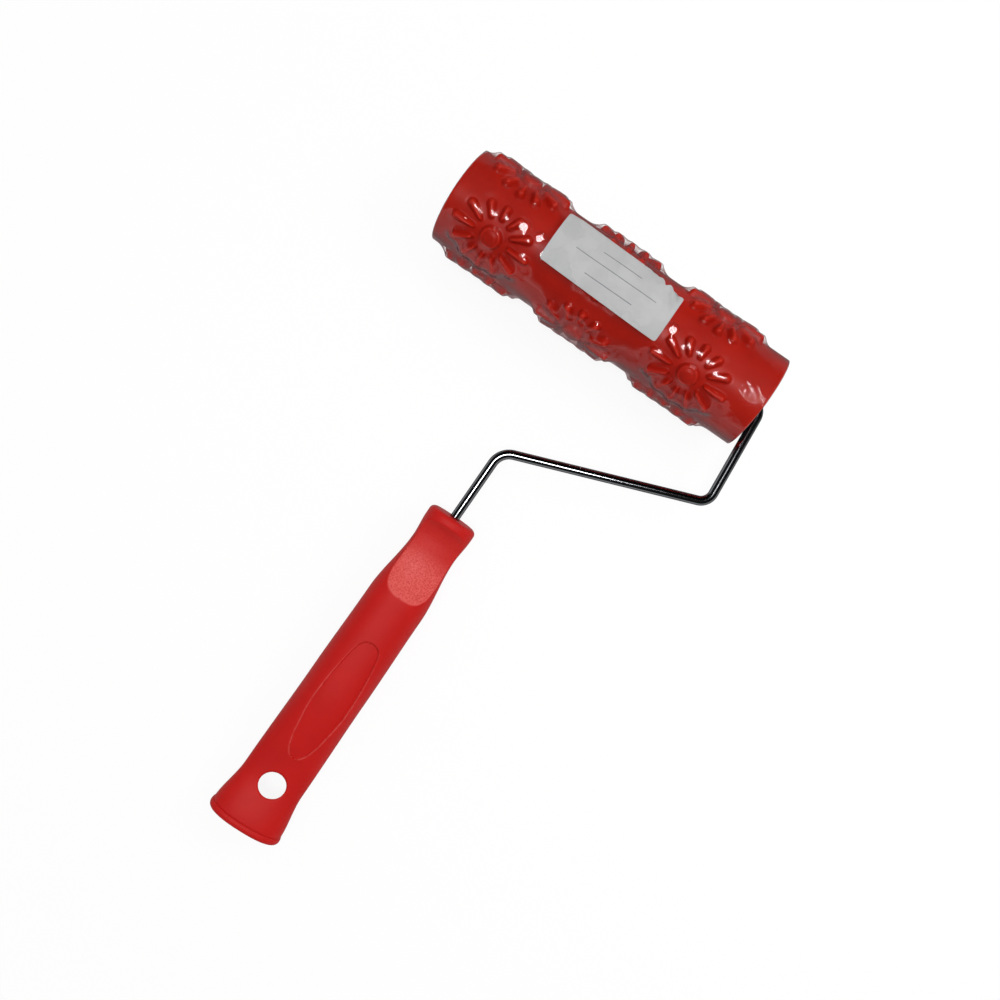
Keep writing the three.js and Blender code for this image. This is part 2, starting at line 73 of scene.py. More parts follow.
class Slot(Enum):
    """The record's material slots."""

    SLEEVE = "sleeve_rubber"
    CORE = "core_plastic"
    CAP = "cap_plastic"
    BUSH = "bush_nylon"
    LABEL = "label_paper"
    HANDLE = "handle_plastic"
    WIRE = "chromed_wire"
    ZINC = "zinc_steel"
    FILM = "clear_film"


class Effect(Enum):
    """The shader node groups that the finishes share."""

    TONE = "tone_drift"
    GRAIN = "moulded_grain"
    SCUFF = "light_scuffs"
    # painted light: this group masks the edges where the finishes paint highlights and shade
    WEAR = "edge_wear"
    CREASE = "soft_creases"


class Side(Enum):
    """The roller's ends: the wire leaves it at the outer one."""

    OUTER = 1
    INNER = -1


# Placing


@dataclass(frozen=True)
class Placement:
    """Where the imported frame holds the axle, and how far the wire frame leans on it.

    Args:
        axle: the middle of the roller, in metres.
        lean: the turn of the wire frame about the axle, in radians.
    """

    axle: Vector
    lean: float

    @classmethod
    def from_record(cls, record: dict, joints: list[dict]) -> "Placement":
        """Reads the axle from the joint and the lean from the butt's flat face.

        Args:
            record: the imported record.
            joints: the frame's joints.

        Returns:
            The placement.
        """
        butt = next(m for m in record["mounts"] if m["name"] == "butt_face")
        return cls(Vector(joints[0]["pos_m"]), math.atan2(-butt["axis"][2], -butt["axis"][1]))

    def roller(self) -> Matrix:
        """The roller's own axes, with X along the axle."""
        return Matrix.Translation(self.axle)

    def wire(self) -> Matrix:
        """The flat wire frame's own axes."""
        return Matrix.Translation(self.axle) @ Matrix.Rotation(self.lean, 4, "X")


# Curves


def turns(sides: int) -> np.ndarray:
    """Even angles round a full turn."""
    return np.arange(sides) * FULL_TURN / sides


def round_axle(along: np.ndarray, radius: np.ndarray, turn: np.ndarray) -> np.ndarray:
    """Points from their places along the axle, their radii and their angles."""
    return np.stack(np.broadcast_arrays(along, -radius * np.sin(turn), radius * np.cos(turn)), axis=-1)


def turned_rings(profile: Iterable[Pair], sides: int) -> np.ndarray:
    """Turns a profile of (place, radius) pairs about the axle."""
    pairs = np.array(list(profile), float)
    return round_axle(pairs[:, :1], pairs[:, 1:], turns(sides))


def rounded(profile: list[Pair], radius: float, steps: int = 3, most: float = 0.45) -> list[Pair]:
    """Rounds the corners of a closed profile.

    Args:
        profile: the corners as (place, radius) pairs.
        radius: the rounding.
        steps: how many sides an arc gets.
        most: the most of a side that one corner's rounding takes.

    Returns:
        The rounded profile.
    """
    made = []
    corners = [Vector(pair) for pair in profile]
    for i, corner in enumerate(corners):
        before, after = corners[i - 1] - corner, corners[(i + 1) % len(corners)] - corner
        cut = min(radius, most * before.length, most * after.length)
        start, end = corner + before.normalized() * cut, corner + after.normalized() * cut
        for step in range(steps + 1):
            first, second = start.lerp(corner, step / steps), corner.lerp(end, step / steps)
            made.append(tuple(first.lerp(second, step / steps)))
    return made


def through(pairs: Iterable[Pair], at: np.ndarray) -> np.ndarray:
    """A smooth curve through given pairs.

    Args:
        pairs: (place, value) pairs in rising order.
        at: the places to read it at, which the outer pairs limit.

    Returns:
        The values there.
    """
    place, value = np.array(list(pairs), float).T
    slope = np.gradient(value, place)
    at = np.clip(at, place[0], place[-1])
    i = np.clip(np.searchsorted(place, at) - 1, 0, len(place) - 2)
    span = place[i + 1] - place[i]
    t = (at - place[i]) / span
    return (
        value[i] * (1 + 2 * t) * (1 - t) ** 2
        + value[i + 1] * t**2 * (3 - 2 * t)
        + span * (slope[i] * t * (1 - t) ** 2 - slope[i + 1] * t**2 * (1 - t))
    )


def smoothstep(low: float, high: float, value: np.ndarray) -> np.ndarray:
    """Eases from 0 at low to 1 at high."""
    t = np.clip((value - low) / (high - low), 0, 1)
    return t * t * (3 - 2 * t)


def soft_min(a: np.ndarray, b: np.ndarray, blend: float) -> np.ndarray:
    """The lesser of two heights, with the corner between them rounded over blend."""
    h = np.clip(0.5 + 0.5 * (b - a) / blend, 0, 1)
    return b * (1 - h) + a * h - blend * h * (1 - h)


def around_from(turn: np.ndarray, angle: float, radius: float) -> np.ndarray:
    """How far round a circle each angle is from one angle, the shorter way."""
    return (np.mod(turn - angle + math.pi, FULL_TURN) - math.pi) * radius


def ripple(along: np.ndarray, turn: np.ndarray, length: float, seed: int, waves: int = 14) -> np.ndarray:
    """Even unrest on a roller's surface, made of waves that close round it.

    Args:
        along: places along the axle, in millimetres.
        turn: angles round it, in radians.
        length: the usual length of a wave, in millimetres.
        seed: picks the waves.
        waves: how many there are.

    Returns:
        Heights from about -1 to 1.
    """
    draw = np.random.default_rng(seed)
    shortest, longest = 0.7, 1.6
    total = np.zeros(np.broadcast(along, turn).shape)
    for _ in range(waves):
        way = draw.uniform(0, FULL_TURN)
        pace = FULL_TURN / (length * draw.uniform(shortest, longest))
        around = round(pace * math.sin(way) * SleeveSizes.radius)
        total += np.cos(pace * math.cos(way) * along + around * turn + draw.uniform(0, FULL_TURN))
    return total / math.sqrt(waves * 2)


# Meshes


def placed(name: str, data: bpy.types.ID, matrix: Matrix) -> Object:
    """Puts new data in the scene.

    Args:
        name: the object's name.
        data: its data.
        matrix: its place and turn.

    Returns:
        The object.
    """
    made = bpy.data.objects.new(name, data)
    bpy.context.scene.collection.objects.link(made)
    made.matrix_world = matrix
    return made


def smooth(mesh: bpy.types.Mesh, sharp: float) -> None:
    """Shades a mesh smooth but for its edges that are steeper than sharp, in degrees."""
    mesh.polygons.foreach_set("use_smooth", [True] * len(mesh.polygons))
    mesh.set_sharp_from_angle(angle=math.radians(sharp))


def signed_volume(mesh: bpy.types.Mesh) -> float:
    """Measures a mesh's volume.

    Args:
        mesh: a closed mesh.

    Returns:
        Six times its volume, negative where its faces point in.
    """
    mesh.calc_loop_triangles()
    corners = np.zeros(len(mesh.loop_triangles) * 3, int)
    mesh.loop_triangles.foreach_get("vertices", corners)
    place = np.zeros(len(mesh.vertices) * 3)
    mesh.vertices.foreach_get("co", place)
    a, b, c = place.reshape(-1, 3)[corners.reshape(-1, 3)].transpose(1, 0, 2)
    return float(np.einsum("ij,ij->", a, np.cross(b, c)))


def solid(name: str, points: np.ndarray, faces: list[list[int]], matrix: Matrix, sharp: float) -> Object:
    """Makes a closed solid with its faces turned out.

    Args:
        name: its name.
        points: its points, in millimetres, in its own axes.
        faces: its faces.
        matrix: its own axes, in metres.
        sharp: edges steeper than this many degrees stay sharp.

    Returns:
        The solid.
    """
    mesh = bpy.data.meshes.new(name)
    mesh.from_pydata((points * MM).tolist(), [], faces)
    if signed_volume(mesh) < 0:
        mesh.flip_normals()
    smooth(mesh, sharp)
    return placed(name, mesh, matrix)


def ringed(name: str, rings: np.ndarray, matrix: Matrix, sharp: float = 38.0, loop: bool = True) -> Object:
    """Makes a closed solid of rings of points, each ring as long as the last.

    Args:
        name: its name.
        rings: an array of ring, point and the point's three numbers, in millimetres.
        matrix: its own axes, in metres.
        sharp: edges steeper than this many degrees stay sharp.
        loop: True if the last ring joins the first, False if a face closes each of them.

    Returns:
        The solid.
    """
    count, sides = rings.shape[:2]
    rows = np.arange(count if loop else count - 1)[:, None]
    around = np.arange(sides)[None, :]
    after, beside = (rows + 1) % count, (around + 1) % sides
    corners = [rows * sides + around, rows * sides + beside, after * sides + beside, after * sides + around]
    faces = np.stack(corners, axis=-1).reshape(-1, 4).tolist()
    if not loop:
        last = (count - 1) * sides
        faces += [list(range(sides))[::-1], list(range(last, last + sides))]
    return solid(name, rings.reshape(-1, 3), faces, matrix, sharp)


def combine(base: Object, others: list[Object], operation: str, sharp: float) -> Object:
    """Joins or cuts a solid with others, which go.

    Args:
        base: the solid that stays.
        others: the solids that join or cut it.
        operation: UNION or DIFFERENCE.
        sharp: edges of the result steeper than this many degrees stay sharp.

    Returns:
        The changed solid.
    """
    for other in others:
        change = base.modifiers.new("combine", "BOOLEAN")
        change.operation, change.solver, change.object = operation, "MANIFOLD", other
        bpy.context.view_layer.update()
        seen = base.evaluated_get(bpy.context.evaluated_depsgraph_get())
        mesh = bpy.data.meshes.new_from_object(seen)
        base.modifiers.clear()
        base.data = mesh
        bpy.data.objects.remove(other)
    smooth(base.data, sharp)
    return base


# Shader tools


class Shader:
    """A material or node group under construction."""

    def __init__(self, tree: bpy.types.NodeTree) -> None:
        """Starts with an empty tree."""
        self.tree = tree
        tree.nodes.clear()

    def feed(self, socket: Socket, value: object) -> None:
        """Joins a socket to another one, or sets it to a plain value.

        Args:
            socket: the socket.
            value: the other socket or the plain value.
        """
        if isinstance(value, Socket):
            self.tree.links.new(value, socket)
        elif socket.type == "RGBA":
            socket.default_value = (*value[:3], 1)
        else:
            socket.default_value = value

    def node(
        self, kind: str, inputs: dict[str | int, object] | None = None, **settings: object
    ) -> bpy.types.Node:
        """Adds a node.

        Args:
            kind: its type, without the ShaderNode prefix.
            inputs: sockets or plain values for its inputs, by name or number.
            settings: its properties by name.

        Returns:
            The node.
        """
        made = self.tree.nodes.new("ShaderNode" + kind)
        for name, value in settings.items():
            setattr(made, name, value)
        for name, value in (inputs or {}).items():
            self.feed(made.inputs[name], value)
        return made

    def math(self, operation: str, *values: object, clamp: bool = False) -> Socket:
        """A Math node's result on plain values or sockets, kept from 0 to 1 if clamped."""
        return self.node("Math", dict(enumerate(values)), operation=operation, use_clamp=clamp).outputs[0]

    def ramp(self, value: Socket, low: float, high: float, bottom: float = 0.0, top: float = 1.0) -> Socket:
        """Eases a value from bottom to top as it goes from low to high."""
        inputs = dict(enumerate((value, low, high, bottom, top)))
        return self.node("MapRange", inputs, interpolation_type="SMOOTHSTEP").outputs[0]

    def blend(self, share: object, first: object, second: object) -> Socket:
        """Mixes two colours, by how much of the second shows."""
        return self.node("Mix", {0: share, 6: first, 7: second}, data_type="RGBA").outputs[2]

    def noise(self, place: Socket, scale: object, detail: float = 2.0, roughness: float = 0.5) -> Socket:
        """A noise from 0 to 1, with as many waves in a metre as scale says."""
        inputs = {"Vector": place, "Scale": scale, "Detail": detail, "Roughness": roughness}
        return self.node("TexNoise", inputs).outputs[0]

    def place(self, stretch: Colour = (1.0, 1.0, 1.0)) -> Socket:
        """The piece's own coordinates, stretched along its axes."""
        found = self.node("TexCoord").outputs["Object"]
        return self.node("Mapping", {"Vector": found, "Scale": stretch}).outputs[0]

    def split(self, place: Socket) -> bpy.types.NodeOutputs:
        """The three coordinates of a place."""
        return self.node("SeparateXYZ", {0: place}).outputs

    def bump(self, height: Socket, depth: float) -> Socket:
        """A normal from a height, of which 1 stands for depth in millimetres."""
        return self.node("Bump", {"Distance": depth * MM, "Height": height}).outputs[0]

    def attribute(self, name: str) -> Socket:
        """A mask that the mesh carries."""
        return self.node("Attribute", attribute_name=name).outputs["Fac"]

    def finish(self, share: Socket, first: bpy.types.Node, second: bpy.types.Node) -> None:
        """Ends a material with a mix of two shaders, by how much of the second shows."""
        mixed = self.node("MixShader", {0: share, 1: first.outputs[0], 2: second.outputs[0]})
        self.node("OutputMaterial", {"Surface": mixed.outputs[0]})


def new_material(name: str) -> tuple[bpy.types.Material, Shader]:
    """Starts a material.

    Args:
        name: its name.

    Returns:
        The material and its shader.
    """
    material = bpy.data.materials.new(name)
    material.use_nodes = True
    return material, Shader(material.node_tree)


class EffectLibrary:
    """Builds each shared node group once and places it in a material."""

    def __init__(self) -> None:
        """Starts with no groups made."""
        self.made: dict[Effect, bpy.types.NodeTree] = {}
        self.builders: dict[Effect, Callable[[], bpy.types.NodeTree]] = {
            Effect.TONE: self.tone_drift,
            Effect.GRAIN: self.moulded_grain,
            Effect.SCUFF: self.light_scuffs,
            Effect.WEAR: self.edge_wear,
            Effect.CREASE: self.soft_creases,
        }

    def use(self, shader: Shader, effect: Effect, **values: object) -> Socket:
        """Places a group in a material.

        Args:
            shader: the material.
            effect: which group.
            values: its inputs by name, as plain values or sockets.

        Returns:
            The group's output.
        """
        if effect not in self.made:
            self.made[effect] = self.builders[effect]()
        return shader.node("Group", values, node_tree=self.made[effect]).outputs[0]

    @staticmethod
    def start(
        effect: Effect, output: str, **inputs: object
    ) -> tuple[Shader, bpy.types.NodeOutputs, Socket]:
        """Starts a group with its named sockets.

        Args:
            effect: which group it is.
            output: the output's name: Colour for a colour, else a number's.
            inputs: each input's usual value by name, None for a place.

        Returns:
            The shader, the group's inputs by name and the output's socket.
        """
        kinds = {type(None): "NodeSocketVector", float: "NodeSocketFloat", tuple: "NodeSocketColor"}
        tree = bpy.data.node_groups.new(effect.value, "ShaderNodeTree")
        shader = Shader(tree)
        for name, usual in inputs.items():
            socket = tree.interface.new_socket(name, in_out="INPUT", socket_type=kinds[type(usual)])
            if usual is not None:
                socket.default_value = usual
        kind = kinds[tuple if output == "Colour" else float]
        tree.interface.new_socket(output, in_out="OUTPUT", socket_type=kind)
        given = tree.nodes.new("NodeGroupInput").outputs
        return shader, given, tree.nodes.new("NodeGroupOutput").inputs[0]

    def tone_drift(self) -> bpy.types.NodeTree:
        """A colour that drifts darker and lighter over the piece.

        Returns:
            The group.
        """
        shader, given, result = self.start(
            Effect.TONE, "Colour", Place=None, Scale=60.0, Colour=WHITE, Darker=BLACK, Spread=0.3
        )
        broad = shader.noise(given["Place"], given["Scale"], detail=3.0, roughness=0.55)
        share = shader.math("MULTIPLY", shader.ramp(broad, low=0.32, high=0.7), given["Spread"])
        shader.feed(result, shader.blend(share, given["Colour"], given["Darker"]))
        return shader.tree

    def moulded_grain(self) -> bpy.types.NodeTree:
        """The height of a fine grain, as a moulding tool leaves it.

        Returns:
            The group.
        """
        shader, given, result = self.start(Effect.GRAIN, "Height", Place=None, Scale=2000.0, Pits=0.4)
        fine = shader.noise(given["Place"], given["Scale"], roughness=0.6)
        inputs = {"Vector": given["Place"], "Scale": given["Scale"]}
        cells = shader.node("TexVoronoi", inputs, feature="SMOOTH_F1")
        pits = shader.math("MULTIPLY", cells.outputs["Distance"], given["Pits"])
        shader.feed(result, shader.math("ADD", fine, pits))
        return shader.tree

    def light_scuffs(self) -> bpy.types.NodeTree:
        """A mask of thin marks that handling leaves, in patches.

        Returns:
            The group.
        """
        shader, given, result = self.start(Effect.SCUFF, "Mask", Place=None, Scale=300.0, Amount=0.4)
        patch_scale = shader.math("MULTIPLY", given["Scale"], 0.13)
        marks = shader.noise(given["Place"], given["Scale"], detail=5.0, roughness=0.65)
        from_middle = shader.math("ABSOLUTE", shader.math("SUBTRACT", marks, 0.5))
        thin = shader.ramp(from_middle, low=0.0, high=0.03, bottom=1.0, top=0.0)
        patches = shader.ramp(shader.noise(given["Place"], patch_scale), low=0.48, high=0.66)
        both = shader.math("MULTIPLY", thin, patches)
        shader.feed(result, shader.math("MULTIPLY", both, given["Amount"]))
        return shader.tree

    def edge_wear(self) -> bpy.types.NodeTree:
        """A mask of the edges that a range of an edge measure picks, broken up by noise; the finishes paint
        highlights on proud edges and shade in hollows with it.

        Returns:
            The group.
        """
        shader, given, result = self.start(
            Effect.WEAR, "Mask", Place=None, Edge=0.5, From=0.52, To=0.6, Amount=0.5
        )
        reach = shader.node("MapRange", {0: given["Edge"], 1: given["From"], 2: given["To"]})
        unrest = shader.noise(given["Place"], scale=420.0, detail=3.0)
        broken = shader.ramp(unrest, low=0.25, high=0.62, bottom=0.35)
        # painted light mask: the edges that the caller's range picks, broken up by noise
        painted_edge_mask = shader.math("MULTIPLY", reach.outputs[0], broken)
        shader.feed(result, shader.math("MULTIPLY", painted_edge_mask, given["Amount"]))
        return shader.tree

    def soft_creases(self) -> bpy.types.NodeTree:
        """The height of crossing creases, as in handled paper or tight film.

        Returns:
            The group.
        """
        shader, given, result = self.start(Effect.CREASE, "Height", Place=None, Scale=120.0, Sharpness=0.1)
        warp = shader.noise(given["Place"], given["Scale"], detail=3.0)
        ridge = shader.math("ABSOLUTE", shader.math("SUBTRACT", warp, 0.5))
        low = shader.math("DIVIDE", ridge, given["Sharpness"], clamp=True)
        shader.feed(result, shader.math("SUBTRACT", 1.0, low))
        return shader.tree


EFFECTS = EffectLibrary()


# Finishes


@dataclass(frozen=True)
class Finish:
    """The finish of a plain moulded or turned piece. The other kinds change parts of it.

    Args:
        name: the material's name.
        colour: its linear colour.
        darker: the colour that it drifts to.
        spread: how far it drifts.
        drift_scale: drifts in a metre.
        roughness: its roughness.
        swing: how far the roughness wanders.
        wander_scale: how often it wanders in a metre.
        mark_roughness: how much rougher a mark is.
        grain_scale: grains in a metre.
        grain_depth: their depth, in millimetres.
        pits: how pitted the grain is.
        scuff_amount: how strong its marks are.
        scuff_scale: marks in a metre.
        drawn: how its grain and marks are drawn out along the axes.
    """

    name: str
    colour: Colour
    darker: Colour
    spread: float = 0.35
    drift_scale: float = 45.0
    roughness: float = 0.4
    swing: float = 0.08
    wander_scale: float = 90.0
    mark_roughness: float = 0.3
    grain_scale: float = 1500.0
    grain_depth: float = 0.02
    pits: float = 0.4
    scuff_amount: float = 0.15
    scuff_scale: float = 260.0
    drawn: Colour = (1.0, 1.0, 1.0)

    def material(self) -> bpy.types.Material:
        """The finish as a material, which is made once."""
        return bpy.data.materials.get(self.name) or self.made()

    def made(self) -> bpy.types.Material:
        """Makes the material from its parts.

        Returns:
            The material.
        """
        material, shader = new_material(self.name)
        place = shader.place()
        height, depth = self.height(shader, place)
        surface = shader.node("BsdfPrincipled", {
            "Base Color": self.tone(shader, place),
            "Roughness": self.rough(shader, place),
            "Normal": shader.bump(height, depth),
            **self.constants(),
        })
        shader.node("OutputMaterial", {"Surface": surface.outputs[0]})
        return material

    def constants(self) -> dict[str, object]:
        """What the shader has all over, by the socket's name."""
        return {}

    def grain(self, shader: Shader, place: Socket) -> Socket:
        """The height of its grain."""
        return EFFECTS.use(shader, Effect.GRAIN, Place=place, Scale=self.grain_scale, Pits=self.pits)

    def tone(self, shader: Shader, place: Socket) -> Socket:
        """Its colour over the surface.

        Args:
            shader: the material.
            place: the coordinates.

        Returns:
            The colour.
        """
        return EFFECTS.use(
            shader, Effect.TONE, Place=place, Scale=self.drift_scale, Colour=self.colour,
            Darker=self.darker, Spread=self.spread,
        )

    def rough(self, shader: Shader, place: Socket) -> Socket:
        """A roughness that wanders a little and rises where the surface is marked.

        Args:
            shader: the material.
            place: the coordinates.

        Returns:
            The roughness.
        """
        marks = EFFECTS.use(
            shader, Effect.SCUFF, Place=shader.place(self.drawn), Scale=self.scuff_scale,
            Amount=self.scuff_amount,
        )
        unrest = shader.noise(place, self.wander_scale, detail=3.0)
        wander = shader.math("MULTIPLY_ADD", unrest, 2 * self.swing, self.roughness - self.swing)
        return shader.math("ADD", wander, shader.math("MULTIPLY", marks, self.mark_roughness), clamp=True)

    def height(self, shader: Shader, place: Socket) -> tuple[Socket, float]:
        """The height of its surface, and what a height of 1 stands for, in millimetres."""
        return self.grain(shader, shader.place(self.drawn)), self.grain_depth


@dataclass(frozen=True)
class Rubber(Finish):
    """Glossy moulded rubber, with a painted highlight on its proud edges and painted shade in the roots of its
    relief.

    Args:
        edge_highlight_colour: the colour of the painted highlight on the proud edges.
    """

    edge_highlight_colour: Colour = (0.62, 0.03, 0.014)

    def constants(self) -> dict[str, object]:
        """Soft rubber mirrors less than plastic."""
        return {"Specular IOR Level": 0.18}

    def tone(self, shader: Shader, place: Socket) -> Socket:
        """Paints a highlight on the relief's proud edges and shade into its roots, towards the darker colour.

        Args:
            shader: the material.
            place: the coordinates.

        Returns:
            The colour.
        """
        edge = shader.node("NewGeometry").outputs["Pointiness"]
        # painted highlight on the proud edges, picked by pointiness
        painted_edge_mask = EFFECTS.use(shader, Effect.WEAR, Place=place, Edge=edge, From=0.51, To=0.6, Amount=0.55)
        # painted shade in the roots between petals and boss, towards the darker colour
        deep = EFFECTS.use(shader, Effect.WEAR, Place=place, Edge=edge, From=0.49, To=0.42, Amount=0.6)
        lit = shader.blend(painted_edge_mask, super().tone(shader, place), self.edge_highlight_colour)
        return shader.blend(deep, lit, self.darker)


@dataclass(frozen=True)
class GrainedPlastic(Finish):
    """Matte grained plastic with a speckled frost in its thumb hollow, whose lighter colour is partly frost and
    partly painted sheen, and with painted highlights on its rims.

    Args:
        frost_sheen_highlight_colour: the colour of the frost, which is partly painted sheen, and of the painted
            highlights on the rims.
        frost_scale: the frost's grains in a metre.
        frost_depth: their depth, in millimetres.
        frost_pits: how pitted the frost is.
        frost_gloss: how much smoother the frost is.
        grain_roughness: how much rougher the top of a grain is.
    """

    frost_sheen_highlight_colour: Colour = (0.76, 0.12, 0.105)
    frost_scale: float = 1300.0
    frost_depth: float = 0.05
    frost_pits: float = 0.8
    frost_gloss: float = 0.1
    grain_roughness: float = 0.06

    def constants(self) -> dict[str, object]:
        """Grained plastic mirrors little."""
        return {"Specular IOR Level": 0.26}

    def frost(self, shader: Shader, place: Socket) -> tuple[Socket, Socket]:
        """Finds the hollow and its frost.

        Args:
            shader: the material.
            place: the coordinates.

        Returns:
            The hollow's mask and the height of the frost.
        """
        coarse = EFFECTS.use(
            shader, Effect.GRAIN, Place=place, Scale=self.frost_scale, Pits=self.frost_pits
        )
        return shader.attribute(Handle.hollow_mask), coarse

    def tone(self, shader: Shader, place: Socket) -> Socket:
        """Lightens the hollow with the speckled frost, which is partly painted sheen, and paints highlights on the
        rims that the mesh marks.

        Args:
            shader: the material.
            place: the coordinates.

        Returns:
            The colour.
        """
        hollow, coarse = self.frost(shader, place)
        speckle = shader.ramp(coarse, low=0.45, high=1.1, bottom=0.25, top=0.75)
        # the hollow's lighter colour: partly the frost, partly painted sheen
        frost = shader.math("MULTIPLY", hollow, speckle)
        # painted highlight on the hollow's rim and along the panel's edge
        edge = shader.attribute(Handle.painted_rim_highlight_mask)
        painted_edge_mask = EFFECTS.use(shader, Effect.WEAR, Place=place, Edge=edge, From=0.0, To=1.0, Amount=0.55)
        colour = shader.blend(frost, super().tone(shader, place), self.frost_sheen_highlight_colour)
        return shader.blend(painted_edge_mask, colour, self.frost_sheen_highlight_colour)

    def rough(self, shader: Shader, place: Socket) -> Socket:
        """Rougher on its grains and smoother in the hollow.

        Args:
            shader: the material.
            place: the coordinates.

        Returns:
            The roughness.
        """
        fine = self.grain(shader, place)
        rough = shader.math("MULTIPLY_ADD", fine, self.grain_roughness, self.roughness)
        return shader.math("MULTIPLY_ADD", shader.attribute(Handle.hollow_mask), -self.frost_gloss, rough)

    def height(self, shader: Shader, place: Socket) -> tuple[Socket, float]:
        """Fine grain all over, and frost in the hollow.

        Args:
            shader: the material.
            place: the coordinates.

        Returns:
            The height, and what a height of 1 stands for, in millimetres.
        """
        hollow, coarse = self.frost(shader, place)
        frost = shader.math("MULTIPLY", coarse, hollow)
        share = self.frost_depth / self.grain_depth
        return shader.math("MULTIPLY_ADD", frost, share, self.grain(shader, place)), self.grain_depth


@dataclass(frozen=True)
class Metal(Finish):
    """Bright or plated metal.

    Args:
        edge_tint: the colour of what it mirrors aslant.
    """

    swing: float = 0.03
    edge_tint: Colour = (1.0, 1.0, 1.0)

    def constants(self) -> dict[str, object]:
        """Metal all over."""
        return {"Metallic": 1.0, "Specular Tint": self.edge_tint}


@dataclass(frozen=True)
class Paper(Finish):
    """Label paper with soft creases and a few plain ruled lines, and no words.

    Args:
        ink: the colour of the lines.
        rule_width: their width, in millimetres.
        rule_fade: how far a line's end fades, in millimetres.
        rules: each line's start and end along the axle and its angle, in mm and degrees.
        crease_depth: the depth of the creases, in millimetres.
    """

    ink: Colour = (0.13, 0.14, 0.15)
    rule_width: float = 0.45
    rule_fade: float = 0.3
    rules: tuple[tuple[float, float, float], ...] = ()
    crease_depth: float = 0.16

    def fibre(self, shader: Shader, place: Socket) -> Socket:
        """The unrest of its fibres."""
        return shader.noise(place, scale=1900.0, detail=3.0, roughness=0.7)

    def tone(self, shader: Shader, place: Socket) -> Socket:
        """Rules the lines, which the fibres wear thin in places.

        Args:
            shader: the material.
            place: the coordinates.

        Returns:
            The colour.
        """
        split = shader.split(place)
        turn = shader.math("ARCTAN2", shader.math("MULTIPLY", split[1], -1.0), split[2])
        half = self.rule_width / 2 / SleeveSizes().relief_radius
        lines = 0.0
        for start, end, angle in self.rules:
            away = shader.math("ABSOLUTE", shader.math("SUBTRACT", turn, math.radians(angle)))
            line = shader.ramp(away, low=half * 0.7, high=half * 1.3, bottom=1.0, top=0.0)
            for edge, side in ((start, 1), (end, -1)):
                past = shader.math("MULTIPLY", shader.math("SUBTRACT", split[0], edge * MM), side)
                line = shader.math("MULTIPLY", line, shader.ramp(past, 0.0, self.rule_fade * MM))
            lines = shader.math("MAXIMUM", lines, line)
        wear = shader.ramp(self.fibre(shader, place), low=0.3, high=0.55, bottom=0.45, top=0.85)
        return shader.blend(shader.math("MULTIPLY", lines, wear), super().tone(shader, place), self.ink)

    def height(self, shader: Shader, place: Socket) -> tuple[Socket, float]:
        """Creases and fibres.

        Args:
            shader: the material.
            place: the coordinates.

        Returns:
            The height, and what a height of 1 stands for, in millimetres.
        """
        crease = EFFECTS.use(shader, Effect.CREASE, Place=place, Scale=70.0, Sharpness=0.06)
        share = self.grain_depth / self.crease_depth
        return shader.math("MULTIPLY_ADD", self.fibre(shader, place), share, crease), self.crease_depth


